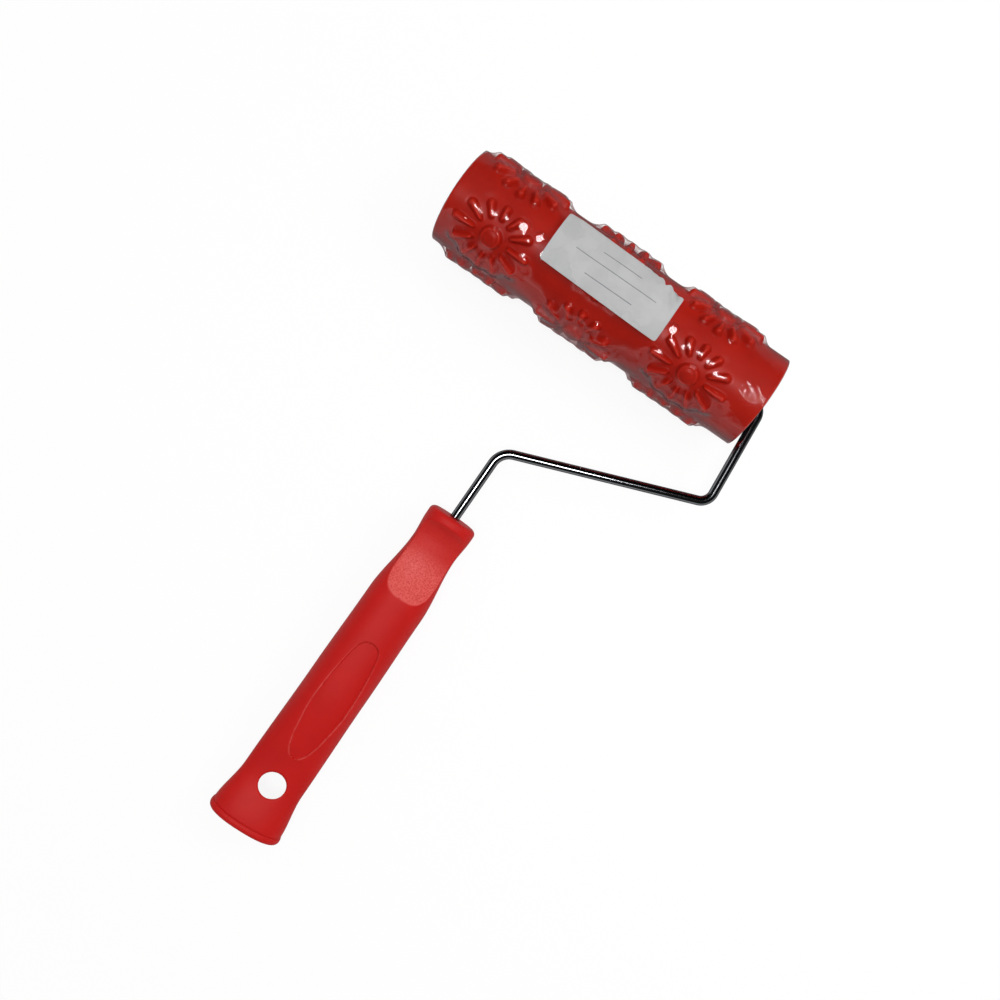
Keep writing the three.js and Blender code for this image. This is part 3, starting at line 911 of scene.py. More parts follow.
@dataclass(frozen=True)
class ClearFilm(Finish):
    """Clear shrink film: see-through straight on, glossy and a little milky aslant.

    Args:
        veil: how milky it is all over.
        index: its refractive index.
        edge_tint: the colour of what it mirrors aslant.
        smoothest: its least roughness.
        dullest: its most.
        crinkle_depth: the depth of its fine crinkles, in millimetres.
        calm_half: how far from the middle it starts to crinkle more.
        crinkled_from: how far from the middle it is crinkled most.
        end_crinkling: how much more it is crinkled there.
        aslant: what is left of the colours below it where it is seen aslant, which is partly the film's own loss
            and partly painted shade.
        far_side_shade: how much of that darkening there is on the far side of the axle, away from the handle.
        shade_side_blend: how far to either side of the axle the darkening eases between the handle's side and the
            far side.
    """

    veil: float = 0.004
    index: float = 1.45
    edge_tint: Colour = (1.0, 0.74, 0.76)
    smoothest: float = 0.03
    dullest: float = 0.09
    crinkle_depth: float = 0.09
    calm_half: float = 68.0
    crinkled_from: float = 80.0
    end_crinkling: float = 0.14
    aslant: Colour = (0.36, 0.2, 0.19)
    far_side_shade: float = 0.3
    shade_side_blend: float = 9.0

    def made(self) -> bpy.types.Material:
        """Mixes a glossy skin over a clear one, by the angle that it is seen at.

        Returns:
            The material.
        """
        material, shader = new_material(self.name)
        place = shader.place()
        height, depth = self.height(shader, place)
        normal = shader.bump(height, depth)
        surface = shader.node("BsdfPrincipled", {
            "Base Color": self.colour,
            "Metallic": 1.0,
            "Specular Tint": self.edge_tint,
            "Roughness": self.rough(shader, place),
            "Normal": normal,
        })
        clear = shader.node("BsdfTransparent", {"Color": self.tone(shader, place)})
        angle = shader.node("Fresnel", {"IOR": self.index, "Normal": normal}).outputs[0]
        outside = shader.math("SUBTRACT", 1.0, shader.node("NewGeometry").outputs["Backfacing"])
        share = shader.math("MULTIPLY", shader.math("ADD", angle, self.veil), outside, clamp=True)
        shader.finish(share, clear, surface)
        return material

    def tone(self, shader: Shader, place: Socket) -> Socket:
        """The colours that it lets through, darker aslant, partly as the film's own loss and partly as painted
        shade, most on the handle's side of the axle.

        Args:
            shader: the material.
            place: the coordinates.

        Returns:
            The colour.
        """
        # painted shade: the darkening aslant is full on the handle's side and eases to the far side's share
        side = self.shade_side_blend * MM
        loose = shader.ramp(shader.split(place)[1], -side, side, bottom=1.0, top=self.far_side_shade)
        facing = shader.node("LayerWeight", {"Blend": 0.5}).outputs["Facing"]
        share = shader.math("MULTIPLY", shader.ramp(facing, low=0.4, high=0.95), loose)
        return shader.blend(share, WHITE, self.aslant)

    def rough(self, shader: Shader, place: Socket) -> Socket:
        """Glossy, and a little duller in places."""
        unrest = shader.noise(place, scale=120.0, detail=3.0)
        return shader.ramp(unrest, low=0.3, high=0.7, bottom=self.smoothest, top=self.dullest)

    def height(self, shader: Shader, place: Socket) -> tuple[Socket, float]:
        """Crinkles in patches, and more of them at the ends.

        Args:
            shader: the material.
            place: the coordinates.

        Returns:
            The height, and what a height of 1 stands for, in millimetres.
        """
        away = shader.math("ABSOLUTE", shader.split(place)[0])
        ends = shader.ramp(away, self.calm_half * MM, self.crinkled_from * MM, top=self.end_crinkling)
        crease = EFFECTS.use(shader, Effect.CREASE, Place=place, Scale=75.0, Sharpness=0.05)
        fine = EFFECTS.use(shader, Effect.CREASE, Place=place, Scale=240.0, Sharpness=0.1)
        fine_share, crease_share = 0.9, 0.5
        both = shader.math("MULTIPLY_ADD", fine, fine_share, shader.math("MULTIPLY", crease, crease_share))
        patches = shader.ramp(shader.math("ADD", shader.noise(place, scale=38.0), ends), low=0.56, high=0.7)
        return shader.math("MULTIPLY", both, patches), self.crinkle_depth


BLACK_PLASTIC = Finish(
    "black_moulded_plastic", (0.021, 0.021, 0.024), (0.012, 0.012, 0.014), roughness=0.38,
    grain_scale=1400.0, grain_depth=0.03, scuff_amount=0.35,
)


# The roller


@dataclass
class Assembly:
    """A sub-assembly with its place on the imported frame.

    Args:
        placement: where the axle is and how the wire frame leans on it.
        turned_sides: how many sides its turned parts have.
    """

    placement: Placement
    turned_sides: int = 96
    body: ClassVar[Body] = Body.ROLLER

    @property
    def axes(self) -> Matrix:
        """Its own axes."""
        return self.placement.roller()

    def turned(self, name: str, profile: list[Pair], rounding: float, side: Side = Side.OUTER) -> Object:
        """A part turned about the axle.

        Args:
            name: its name.
            profile: its corners for the wire's end, as (place, radius) pairs.
            rounding: the rounding of its corners.
            side: the end of the roller that it is at.

        Returns:
            The part.
        """
        pairs = [(side.value * place, reach) for place, reach in rounded(profile, rounding)]
        return ringed(name, turned_rings(pairs, self.turned_sides), self.axes)

    def hand_over(self, made: Object, finish: Finish, slot: Slot, *stands_for: str) -> None:
        """Dresses a piece, rides it on the body and reports it.

        Args:
            made: the piece.
            finish: its finish.
            slot: the record's slot of its finish; not used.
            stands_for: the nodes that it replaces.
        """
        made.data.materials.clear()
        made.data.materials.append(finish.material())
        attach(made, self.body.value)
        for node in stands_for:
            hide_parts(node)
        log.info("%s: %d faces on %s", made.name, len(made.data.polygons), self.body.value)


@dataclass(frozen=True)
class SleeveSizes:
    """The sleeve's sizes, which the pattern, the film, the label and the core follow."""

    length: float = 180.0
    radius: float = 25.0
    wall: float = 3.4
    relief: float = 3.8
    plain_inner: float = 5.7
    plain_outer: float = 16.4

    @property
    def half(self) -> float:
        """Half its length."""
        return self.length / 2

    @property
    def bore(self) -> float:
        """The radius of its bore."""
        return self.radius - self.wall

    @property
    def relief_radius(self) -> float:
        """The radius at the top of the raised pattern."""
        return self.radius + self.relief


@dataclass(frozen=True)
class DaisyPattern:
    """The raised daisies: three columns of four, each column turned half a step."""

    sleeve: SleeveSizes = SleeveSizes()
    half_length: float = 21.8
    half_girth: float = 17.8
    margin: float = 1.0
    petal_start: float = 9.2
    petal_width: float = 4.3
    petal_root: float = 2.3
    petal_rounding: float = 2.1
    boss_radius: float = 5.5
    boss_height: float = 3.0
    boss_rounding: float = 1.2
    button_radius: float = 3.2
    button_rounding: float = 0.6
    button_height: float = 3.3
    groove_depth: float = 0.3
    groove_width: float = 0.9
    groove_gap: float = 0.3
    dome_power: float = 2.1
    columns: int = 3
    around: int = 4
    petals: int = 12
    first_angle: float = 31.0

    def places(self) -> list[Pair]:
        """Lays out the daisies.

        Returns:
            Each daisy's place along the axle and its angle in radians.
        """
        first = -self.sleeve.half + self.sleeve.plain_inner + self.half_length
        last = self.sleeve.half - self.sleeve.plain_outer - self.half_length
        pitch = (last - first) / (self.columns - 1)
        step = FULL_TURN / self.around
        return [
            (first + pitch * column, math.radians(self.first_angle) + step * (i + (column % 2) / 2))
            for column in range(self.columns)
            for i in range(self.around)
        ]

    def dome(self, inside: np.ndarray, rounding: float, top: float) -> np.ndarray:
        """A height that rises steeply from an outline and rounds over to its top.

        Args:
            inside: how far inside the outline each point is.
            rounding: how far in it reaches the top.
            top: the height there.

        Returns:
            The heights.
        """
        t = np.clip(inside / rounding, 0, 1)
        return top * (1 - (1 - t) ** self.dome_power) ** (1 / self.dome_power)

    def petal(self, x: np.ndarray, y: np.ndarray, turn: float) -> np.ndarray:
        """One petal's height: a grain that swells outwards and is round at both ends.

        Args:
            x: places along the axle from the daisy's middle.
            y: places round the sleeve from there.
            turn: the way that the petal points.

        Returns:
            The heights.
        """
        way = (math.cos(turn), math.sin(turn))
        reach = 1 / math.hypot(way[0] / self.half_length, way[1] / self.half_girth)
        root, tip = self.petal_root / 2, self.petal_width / 2
        length = reach - tip - self.petal_start - root
        along = x * way[0] + y * way[1] - self.petal_start - root
        side = np.abs(y * way[0] - x * way[1])
        slope = (root - tip) / length
        lean = math.sqrt(1 - slope**2)
        k = along * lean - side * slope
        flank = side * lean + along * slope - root
        outer = np.where(k > lean * length, np.hypot(side, along - length) - tip, flank)
        outside = np.where(k < 0, np.hypot(side, along) - root, outer)
        return self.dome(-outside, self.petal_rounding, self.sleeve.relief)

    def height(self, along: np.ndarray, turn: np.ndarray) -> np.ndarray:
        """The relief's height over the plain sleeve.

        Args:
            along: places along the axle.
            turn: angles round it, in radians.

        Returns:
            The heights.
        """
        girth = self.sleeve.radius + self.sleeve.relief / 2
        along, turn = np.broadcast_arrays(along, turn)
        total = np.zeros(along.shape)
        for place, angle in self.places():
            x, y = along - place, around_from(turn, angle, girth)
            far_x, far_y = self.half_length + self.margin, self.half_girth + self.margin
            near = (np.abs(x) < far_x) & (np.abs(y) < far_y)
            px, py = x[near], y[near]
            middle = np.hypot(px, py)
            from_groove = np.abs(middle - self.button_radius - self.groove_gap)
            groove = smoothstep(self.groove_width, 0.0, from_groove) * self.groove_depth
            local = np.maximum(
                self.dome(self.boss_radius - middle, self.boss_rounding, self.boss_height) - groove,
                self.dome(self.button_radius - middle, self.button_rounding, self.button_height),
            )
            for i in range(self.petals):
                local = np.maximum(local, self.petal(px, py, FULL_TURN * i / self.petals))
            total[near] = np.maximum(total[near], local)
        return total


@dataclass
class PatternedSleeve(Assembly):
    """The rubber sleeve with its daisies, fine enough to show every petal's edge."""

    sizes: SleeveSizes = SleeveSizes()
    pattern: DaisyPattern = DaisyPattern()
    sides: int = 304
    step: float = 0.566
    edge_rounding: float = 0.8
    edge_steps: int = 5
    unrest: float = 0.03
    unrest_length: float = 22.0
    sharp: float = 75.0
    finish: Finish = Rubber(
        "red_moulded_rubber", (0.41, 0.011, 0.004), (0.24, 0.004, 0.002), spread=0.35,
        roughness=0.34, grain_scale=700.0, grain_depth=0.02, scuff_amount=0.2,
    )

    def build(self) -> None:
        """Makes the sleeve."""
        half, bore, edge, radius = self.sizes.half, self.sizes.bore, self.edge_rounding, self.sizes.radius
        turn = turns(self.sides)
        along = np.linspace(-half + edge, half - edge, int((2 * half - 2 * edge) / self.step))[:, None]
        shift = self.step / 3
        spread = [
            self.pattern.height(along + dx * shift, turn + dy * shift / radius)
            for dx in (-1, 0, 1)
            for dy in (-1, 0, 1)
        ]
        height = np.mean(spread, axis=0) + self.unrest * ripple(along, turn, self.unrest_length, seed=3)
        skin = round_axle(along, radius + height, turn)
        arc = np.linspace(0, QUARTER_TURN, self.edge_steps)[1:]
        corner = [(half - edge + edge * math.sin(a), radius - edge * (1 - math.cos(a))) for a in arc]
        outer = corner + [(half, bore + edge / 2), (half - edge / 2, bore)]
        inner = [(-place, reach) for place, reach in reversed(outer)]
        rings = np.concatenate([skin, turned_rings(outer + inner, self.sides)])
        made = ringed("rubber_sleeve", rings, self.axes, self.sharp)
        self.hand_over(made, self.finish, Slot.SLEEVE, "patterned_sleeve")


@dataclass
class ShrinkFilm(Assembly):
    """The clear film that is shrunk over the pattern and gathered over the sleeve's ends.

    Args:
        stretch: the tightest curve that it takes into a hollow, as a radius.
        window: how far it bridges.
        smoothing: how often it is evened out.
        loose_from: how far below the pattern's top it is as loose as can be.
        most_proud: how far its unrest stands over the pattern's top.
        puckers: each flat round's place along the axle, its angle in degrees and its size.
        pucker_lift: how far a round stands over the pattern.
        bead_lift: how far one on the plain band stands over the band.
        pucker_edge: how wide its edge is at most.
        lamp_lean: how far the lamp's mirror image is from straight up, in radians.
        lamp_centre: how far along the axle it is from the middle.
        lamp_swing: how much a round tilts for each millimetre from there.
        end_fold: how far the film reaches over the sleeve's end.
        fold_edge: where the fold starts below the sleeve's edge.
        fold_shares: the fold's rings.
        pleats: how many pleats the fold has, coarse and fine.
        pleat_height: how far they stand proud.
    """

    sizes: SleeveSizes = SleeveSizes()
    pattern: DaisyPattern = DaisyPattern()
    sides: int = 200
    step: float = 0.95
    stretch: float = 5.5
    window: float = 11.0
    clearance: float = 0.1
    thickness: float = 0.05
    smoothing: int = 4
    unrest: float = 0.012
    broad_length: float = 15.0
    fine_length: float = 4.2
    loose_from: float = 2.6
    most_proud: float = 0.06
    puckers: tuple[tuple[float, float, float], ...] = (
        (-51.6, 2.8, 2.9), (-42.2, 3.6, 2.9), (33.4, 2.4, 2.9),
        (75.2, 6.5, 0.9), (77.6, 1.4, 1.2), (78.4, 10.6, 0.8), (80.6, 5.2, 1.4), (81.4, -2.4, 0.8),
        (83.2, 1.2, 0.9), (83.9, 8.6, 0.8), (75.6, 13.4, 0.8), (80.9, 14.6, 0.9), (86.2, 4.6, 0.7),
    )
    pucker_lift: float = 0.3
    bead_lift: float = 0.1
    pucker_edge: float = 1.1
    lamp_lean: float = 0.193
    lamp_centre: float = 11.1
    lamp_swing: float = 0.00139
    end_fold: float = 2.2
    fold_edge: float = 0.25
    fold_shares: tuple[float, ...] = (0.12, 0.4, 0.7, 1.0)
    pleats: tuple[int, int] = (38, 23)
    pleat_height: float = 0.16
    sharp: float = 80.0
    finish: Finish = ClearFilm("clear_shrink_film", (0.96, 0.9, 0.92), (1, 1, 1))

    @staticmethod
    def shifted(height: np.ndarray, steps: int, axis: int) -> np.ndarray:
        """Heights moved along the axle, where they stop, or round it, where they go on."""
        rows = np.clip(np.arange(len(height)) - steps, 0, len(height) - 1)
        return height[rows] if axis == 0 else np.roll(height, steps, axis=1)

    def envelope(self, height: np.ndarray, spacing: Pair) -> np.ndarray:
        """The height of a taut skin that bridges the hollows it is too stiff to enter.

        Args:
            height: the relief's height by place and angle.
            spacing: the distance between its rows and between its columns.

        Returns:
            The skin's height.
        """
        skin = height
        for sign, pick in ((-1, np.maximum), (1, np.minimum)):
            for axis in (0, 1):
                reach = int(self.window / spacing[axis])
                start = skin
                for k in range(-reach, reach + 1):
                    drop = (k * spacing[axis]) ** 2 / (2 * self.stretch)
                    skin = pick(skin, self.shifted(start, k, axis) + sign * drop)
        for _ in range(self.smoothing):
            for axis in (0, 1):
                beside = self.shifted(skin, -1, axis) + self.shifted(skin, 1, axis)
                skin = np.maximum(height, 0.5 * skin + 0.25 * beside)
        return skin

    def puckered(
        self, along: np.ndarray, turn: np.ndarray, radius: np.ndarray, pucker: tuple[float, float, float]
    ) -> np.ndarray:
        """Pulls the film flat over a small round, leaning so that it mirrors the lamp overhead.

        Args:
            along: places along the axle.
            turn: angles round it, in radians.
            radius: the film's radius by place and angle.
            pucker: the round's place, its angle in degrees and its size.

        Returns:
            The changed radius.
        """
        place, angle, size = pucker
        on_band = place > self.sizes.half - self.sizes.plain_outer
        top = self.sizes.radius + self.bead_lift if on_band else self.sizes.relief_radius + self.pucker_lift
        rise = self.lamp_swing * (place + self.lamp_centre)
        climb = math.radians(angle) - self.lamp_lean
        beside = along - place
        around = around_from(turn, math.radians(angle), top)
        flat = top + rise * beside + climb * around + around**2 / (2 * top)
        share = smoothstep(size + min(self.pucker_edge, size), size, np.hypot(beside, around))
        return radius + (flat - radius) * share

    def layer(self, along: np.ndarray, radius: np.ndarray, turn: np.ndarray, out: float) -> np.ndarray:
        """One face of the film, with its fold over both ends of the sleeve.

        Args:
            along: places along the axle.
            radius: the film's radius by place and angle.
            turn: the angles round the axle.
            out: how far out this face is.

        Returns:
            The rings.
        """
        coarse, fine = self.pleats
        fine_share, fine_phase, gather_share = 0.6, 1.3, 0.12
        gather = np.cos(coarse * turn) + fine_share * np.cos(fine * turn + fine_phase)
        folds = []
        for share in self.fold_shares:
            fold = self.end_fold * share * (1 + gather_share * gather * share)
            proud = self.clearance + out + self.pleat_height * share * (1 + gather / (1 + fine_share)) / 2
            reach = self.sizes.radius - self.fold_edge - fold
            folds.append(round_axle(self.sizes.half + proud, reach, turn))
        folds = np.array(folds)
        mirrored = folds[::-1] * np.array([-1, 1, 1])
        return np.concatenate([mirrored, round_axle(along, radius + out, turn), folds])

    def build(self) -> None:
        """Makes the film as a thin closed skin."""
        half, relief = self.sizes.half, self.sizes.relief
        turn = turns(self.sides)
        rows = int(2 * half / self.step)
        along = np.linspace(-half, half, rows)[:, None]
        height = self.pattern.height(along, turn)
        near = [self.shifted(self.shifted(height, i, 0), j, 1) for i in (-1, 0, 1) for j in (-1, 0, 1)]
        spacing = (2 * half / rows, FULL_TURN * self.sizes.radius / self.sides)
        skin = self.envelope(np.max(near, axis=0), spacing)
        broad = ripple(along, turn, self.broad_length, seed=8)
        fine = ripple(along, turn, self.fine_length, seed=21)
        loose = smoothstep(0.0, self.loose_from, relief - skin)
        most, least_loose = 1.3, 0.25
        waves = 0.5 + 0.5 * np.clip(broad + 0.5 * fine, -most, most)
        lift = self.unrest * waves * (least_loose + loose)
        radius = self.sizes.radius + np.minimum(skin + lift, relief + self.most_proud) + self.clearance
        for pucker in self.puckers:
            radius = self.puckered(along, turn, radius, pucker)
        inside, outside = (self.layer(along, radius, turn, out) for out in (0.0, self.thickness))
        made = ringed("shrink_film", np.concatenate([outside, inside[::-1]]), self.axes, self.sharp)
        self.hand_over(made, self.finish, Slot.FILM)


@dataclass
class PaperLabel(Assembly):
    """The paper label on the film, creased at its upper corner by the wire's end.

    Args:
        start: where it starts along the axle.
        end: where it ends.
        lower: the angles of its lower edge's two ends, in degrees.
        upper: its upper edge, as (share of its length, angle in degrees) pairs.
        torn: where along it the tear starts and is deepest, as shares.
        corner: the rounding of its corners.
        across: how many points it has along the axle.
        high: how many it has round it.
        tears: each of the torn edge's waves as a height, a pace and a phase.
        crease_lift: how high the creased corner stands.
        crease_along: where along it the creases start and are full, as shares.
        crease_up: where they do across it, as shares.
        crease_paces: how fast they wave along it and across it.
        waves: each of its waves as a height, a length and a slant.
        sag: how far its ends follow the film down.
        sag_places: where each end starts to sag and has sagged.
    """

    sizes: SleeveSizes = SleeveSizes()
    start: float = -37.8
    end: float = 29.8
    lower: Pair = (18.2, 21.5)
    upper: tuple[Pair, ...] = ((0, -39.5), (0.55, -37.0), (0.78, -35.2), (0.9, -31.5), (1, -27.0))
    torn: Pair = (0.62, 0.9)
    corner: float = 1.3
    clearance: float = 0.3
    thickness: float = 0.25
    across: int = 110
    high: int = 56
    sag: float = 0.7
    sag_places: tuple[Pair, Pair] = ((16.0, 28.0), (-29.0, -37.0))
    tears: tuple[tuple[float, float, float], ...] = ((1.7, 61.0, 0.0), (1.1, 97.0, 1.0))
    crease_lift: float = 0.55
    crease_along: Pair = (0.8, 1.0)
    crease_up: Pair = (0.55, 1.0)
    crease_paces: Pair = (70.0, 22.0)
    waves: tuple[tuple[float, float, float], ...] = ((0.05, 5.2, 2.0), (0.04, 2.9, -5.0))
    sharp: float = 50.0
    finish: Finish = Paper(
        "soft_white_paper", (0.475, 0.475, 0.475), (0.38, 0.38, 0.385), spread=0.5, drift_scale=70.0,
        roughness=0.62, grain_depth=0.03, scuff_amount=0.1,
        rules=((-14.0, 8.0, -21.0), (-26.0, 20.0, -9.0), (-16.0, 11.0, 6.0)),
    )

    def build(self) -> None:
        """Makes the label."""
        s, t = np.meshgrid(np.linspace(0, 1, self.across), np.linspace(0, 1, self.high), indexing="ij")
        lower = self.lower[0] + (self.lower[1] - self.lower[0]) * s
        tear = sum(height * np.sin(s * pace + phase) for height, pace, phase in self.tears)
        upper = through(self.upper, s) + smoothstep(*self.torn, s) * tear
        angle = np.radians(lower + (upper - lower) * t)
        near_edge = np.minimum(t, 1 - t) * self.sizes.relief_radius * np.radians(lower - upper)
        short = np.clip(self.corner - near_edge, 0, self.corner)
        inset = self.corner - np.sqrt(np.maximum(self.corner**2 - short**2, 0))
        along = self.start + inset + (self.end - self.start - 2 * inset) * s
        crease = smoothstep(*self.crease_along, s) * smoothstep(*self.crease_up, t)
        pace_along, pace_up = self.crease_paces
        lift = self.crease_lift * crease * (1 + np.sin(s * pace_along + t * pace_up))
        wave = sum(height * np.sin(along / length + slant * t) for height, length, slant in self.waves)
        ends = sum(smoothstep(start, end, along) for start, end in self.sag_places)
        base = self.sizes.relief_radius + self.clearance + wave + lift - self.sag * ends * (1 - crease)
        sheets = [round_axle(along, base + out, angle).reshape(-1, 3) for out in (0.0, self.thickness)]
        made = solid("label_sheet", np.concatenate(sheets), self.faces(), self.axes, self.sharp)
        self.hand_over(made, self.finish, Slot.LABEL, "label")

    def faces(self) -> list[list[int]]:
        """Joins the points of both sides of the sheet and of its edge.

        Returns:
            The faces.
        """
        index = np.arange(self.across * self.high).reshape(self.across, self.high)
        corners = [index[:-1, :-1], index[1:, :-1], index[1:, 1:], index[:-1, 1:]]
        under = np.stack(corners, axis=-1).reshape(-1, 4)
        above = under[:, ::-1] + index.size
        rim = np.concatenate([index[:, 0], index[-1, 1:], index[-2::-1, -1], index[0, -2:0:-1]])
        after = np.roll(rim, -1)
        edge = np.stack([after, rim, rim + index.size, after + index.size], axis=-1)
        return np.concatenate([under, above, edge]).tolist()


@dataclass
class RollerCore(Assembly):
    """What turns inside the sleeve: tube, end caps with ribbed webs, and bushes."""

    sizes: SleeveSizes = SleeveSizes()
    seat_gap: float = 0.3
    running_gap: float = 0.2
    rod_radius: float = 2.5
    core_wall: float = 2.5
    cap_flange: float = 2.0
    cap_recess: float = 0.3
    cap_depth: float = 11.7
    skirt_wall: float = 2.0
    skirt_length: float = 15.0
    web: float = 3.0
    hub_length: float = 11.0
    hub_radius: float = 7.5
    ribs: int = 6
    rib_width: float = 1.6
    rib_height: float = 4.0
    bush_radius: float = 4.5
    bush_flange_radius: float = 7.0
    bush_flange: float = 1.6
    rounding: float = 0.3
    cap_rounding: float = 0.4
    rib_rounding: float = 0.35
    sharp: float = 38.0
    core_finish: Finish = Finish(
        "grey_extruded_plastic", (0.26, 0.27, 0.28), (0.19, 0.2, 0.21), roughness=0.5,
    )
    bush_finish: Finish = Finish(
        "natural_nylon", (0.72, 0.7, 0.62), (0.6, 0.57, 0.48), roughness=0.42, grain_depth=0.015,
    )

    @property
    def core_radius(self) -> float:
        """The core tube's radius."""
        return self.sizes.bore - self.seat_gap

    @property
    def cap_radius(self) -> float:
        """The radius of a cap's skirt."""
        return self.core_radius - self.core_wall - self.seat_gap

    @property
    def cap_outside(self) -> float:
        """The place of a cap's outer face."""
        return self.sizes.half - self.cap_recess

    @property
    def web_outside(self) -> float:
        """The place of a web's outer face."""
        return self.cap_outside - self.cap_depth

    @property
    def bush_outside(self) -> float:
        """The place of a bush's outer face."""
        return self.web_outside + self.seat_gap + self.bush_flange

    @property
    def axle_bore(self) -> float:
        """The radius of a bore that runs on the axle."""
        return self.rod_radius + self.running_gap

    def build(self) -> None:
        """Makes the tube, both caps and both bushes."""
        half = self.cap_outside - self.cap_flange - self.seat_gap
        outside, inside = self.core_radius, self.core_radius - self.core_wall
        tube = [(-half, inside), (half, inside), (half, outside), (-half, outside)]
        made = self.turned("core_pipe", tube, self.rounding)
        self.hand_over(made, self.core_finish, Slot.CORE, "core_tube")
        for side in Side:
            end = side.name.lower()
            self.hand_over(self.cap(side), BLACK_PLASTIC, Slot.CAP, f"end_cap_{end}")
            self.hand_over(self.bush(side), self.bush_finish, Slot.BUSH, f"bush_{end}")

    def cap(self, side: Side) -> Object:
        """One end cap, with the ribs on its web.

        Args:
            side: the end of the roller that it is at.

        Returns:
            The cap.
        """
        bore, hub_bore = self.cap_radius - self.skirt_wall, self.bush_radius + self.seat_gap
        flange_end, skirt_end = self.cap_outside - self.cap_flange, self.cap_outside - self.skirt_length
        web_inside, hub_end = self.web_outside - self.web, self.web_outside - self.hub_length
        profile = [
            (self.cap_outside, bore), (self.cap_outside, self.core_radius),
            (flange_end, self.core_radius), (flange_end, self.cap_radius),
            (skirt_end, self.cap_radius), (skirt_end, bore),
            (web_inside, bore), (web_inside, self.hub_radius),
            (hub_end, self.hub_radius), (hub_end, hub_bore),
            (self.web_outside, hub_bore), (self.web_outside, bore),
        ]
        made = self.turned(f"cap_{side.name.lower()}", profile, self.cap_rounding, side)
        return combine(made, [self.rib(i, side) for i in range(self.ribs)], "UNION", self.sharp)

    def rib(self, number: int, side: Side) -> Object:
        """One rib on a cap's web, with rounded edges.

        Args:
            number: which rib it is.
            side: the end of the roller that it is at.

        Returns:
            The rib.
        """
        start, end = self.bush_flange_radius + self.seat_gap, self.cap_radius - self.skirt_wall / 2
        low, high = self.web_outside - self.web / 2, self.web_outside + self.rib_height
        half = self.rib_width / 2
        section = rounded([(low, -half), (high, -half), (high, half), (low, half)], self.rib_rounding)
        turn = Matrix.Rotation(FULL_TURN * number / self.ribs, 3, "X")
        rings = [
            [turn @ Vector((side.value * place, reach, across)) for place, across in section]
            for reach in (start, end)
        ]
        return ringed("rib", np.array(rings), self.axes, loop=False)

    def bush(self, side: Side) -> Object:
        """One flanged bush.

        Args:
            side: the end of the roller that it is at.

        Returns:
            The bush.
        """
        end, seat = self.web_outside - self.hub_length, self.web_outside + self.seat_gap
        profile = [
            (end, self.axle_bore), (end, self.bush_radius),
            (seat, self.bush_radius), (seat, self.bush_flange_radius),
            (self.bush_outside, self.bush_flange_radius), (self.bush_outside, self.axle_bore),
        ]
        return self.turned(f"axle_bush_{side.name.lower()}", profile, self.rounding, side)


# The wire frame


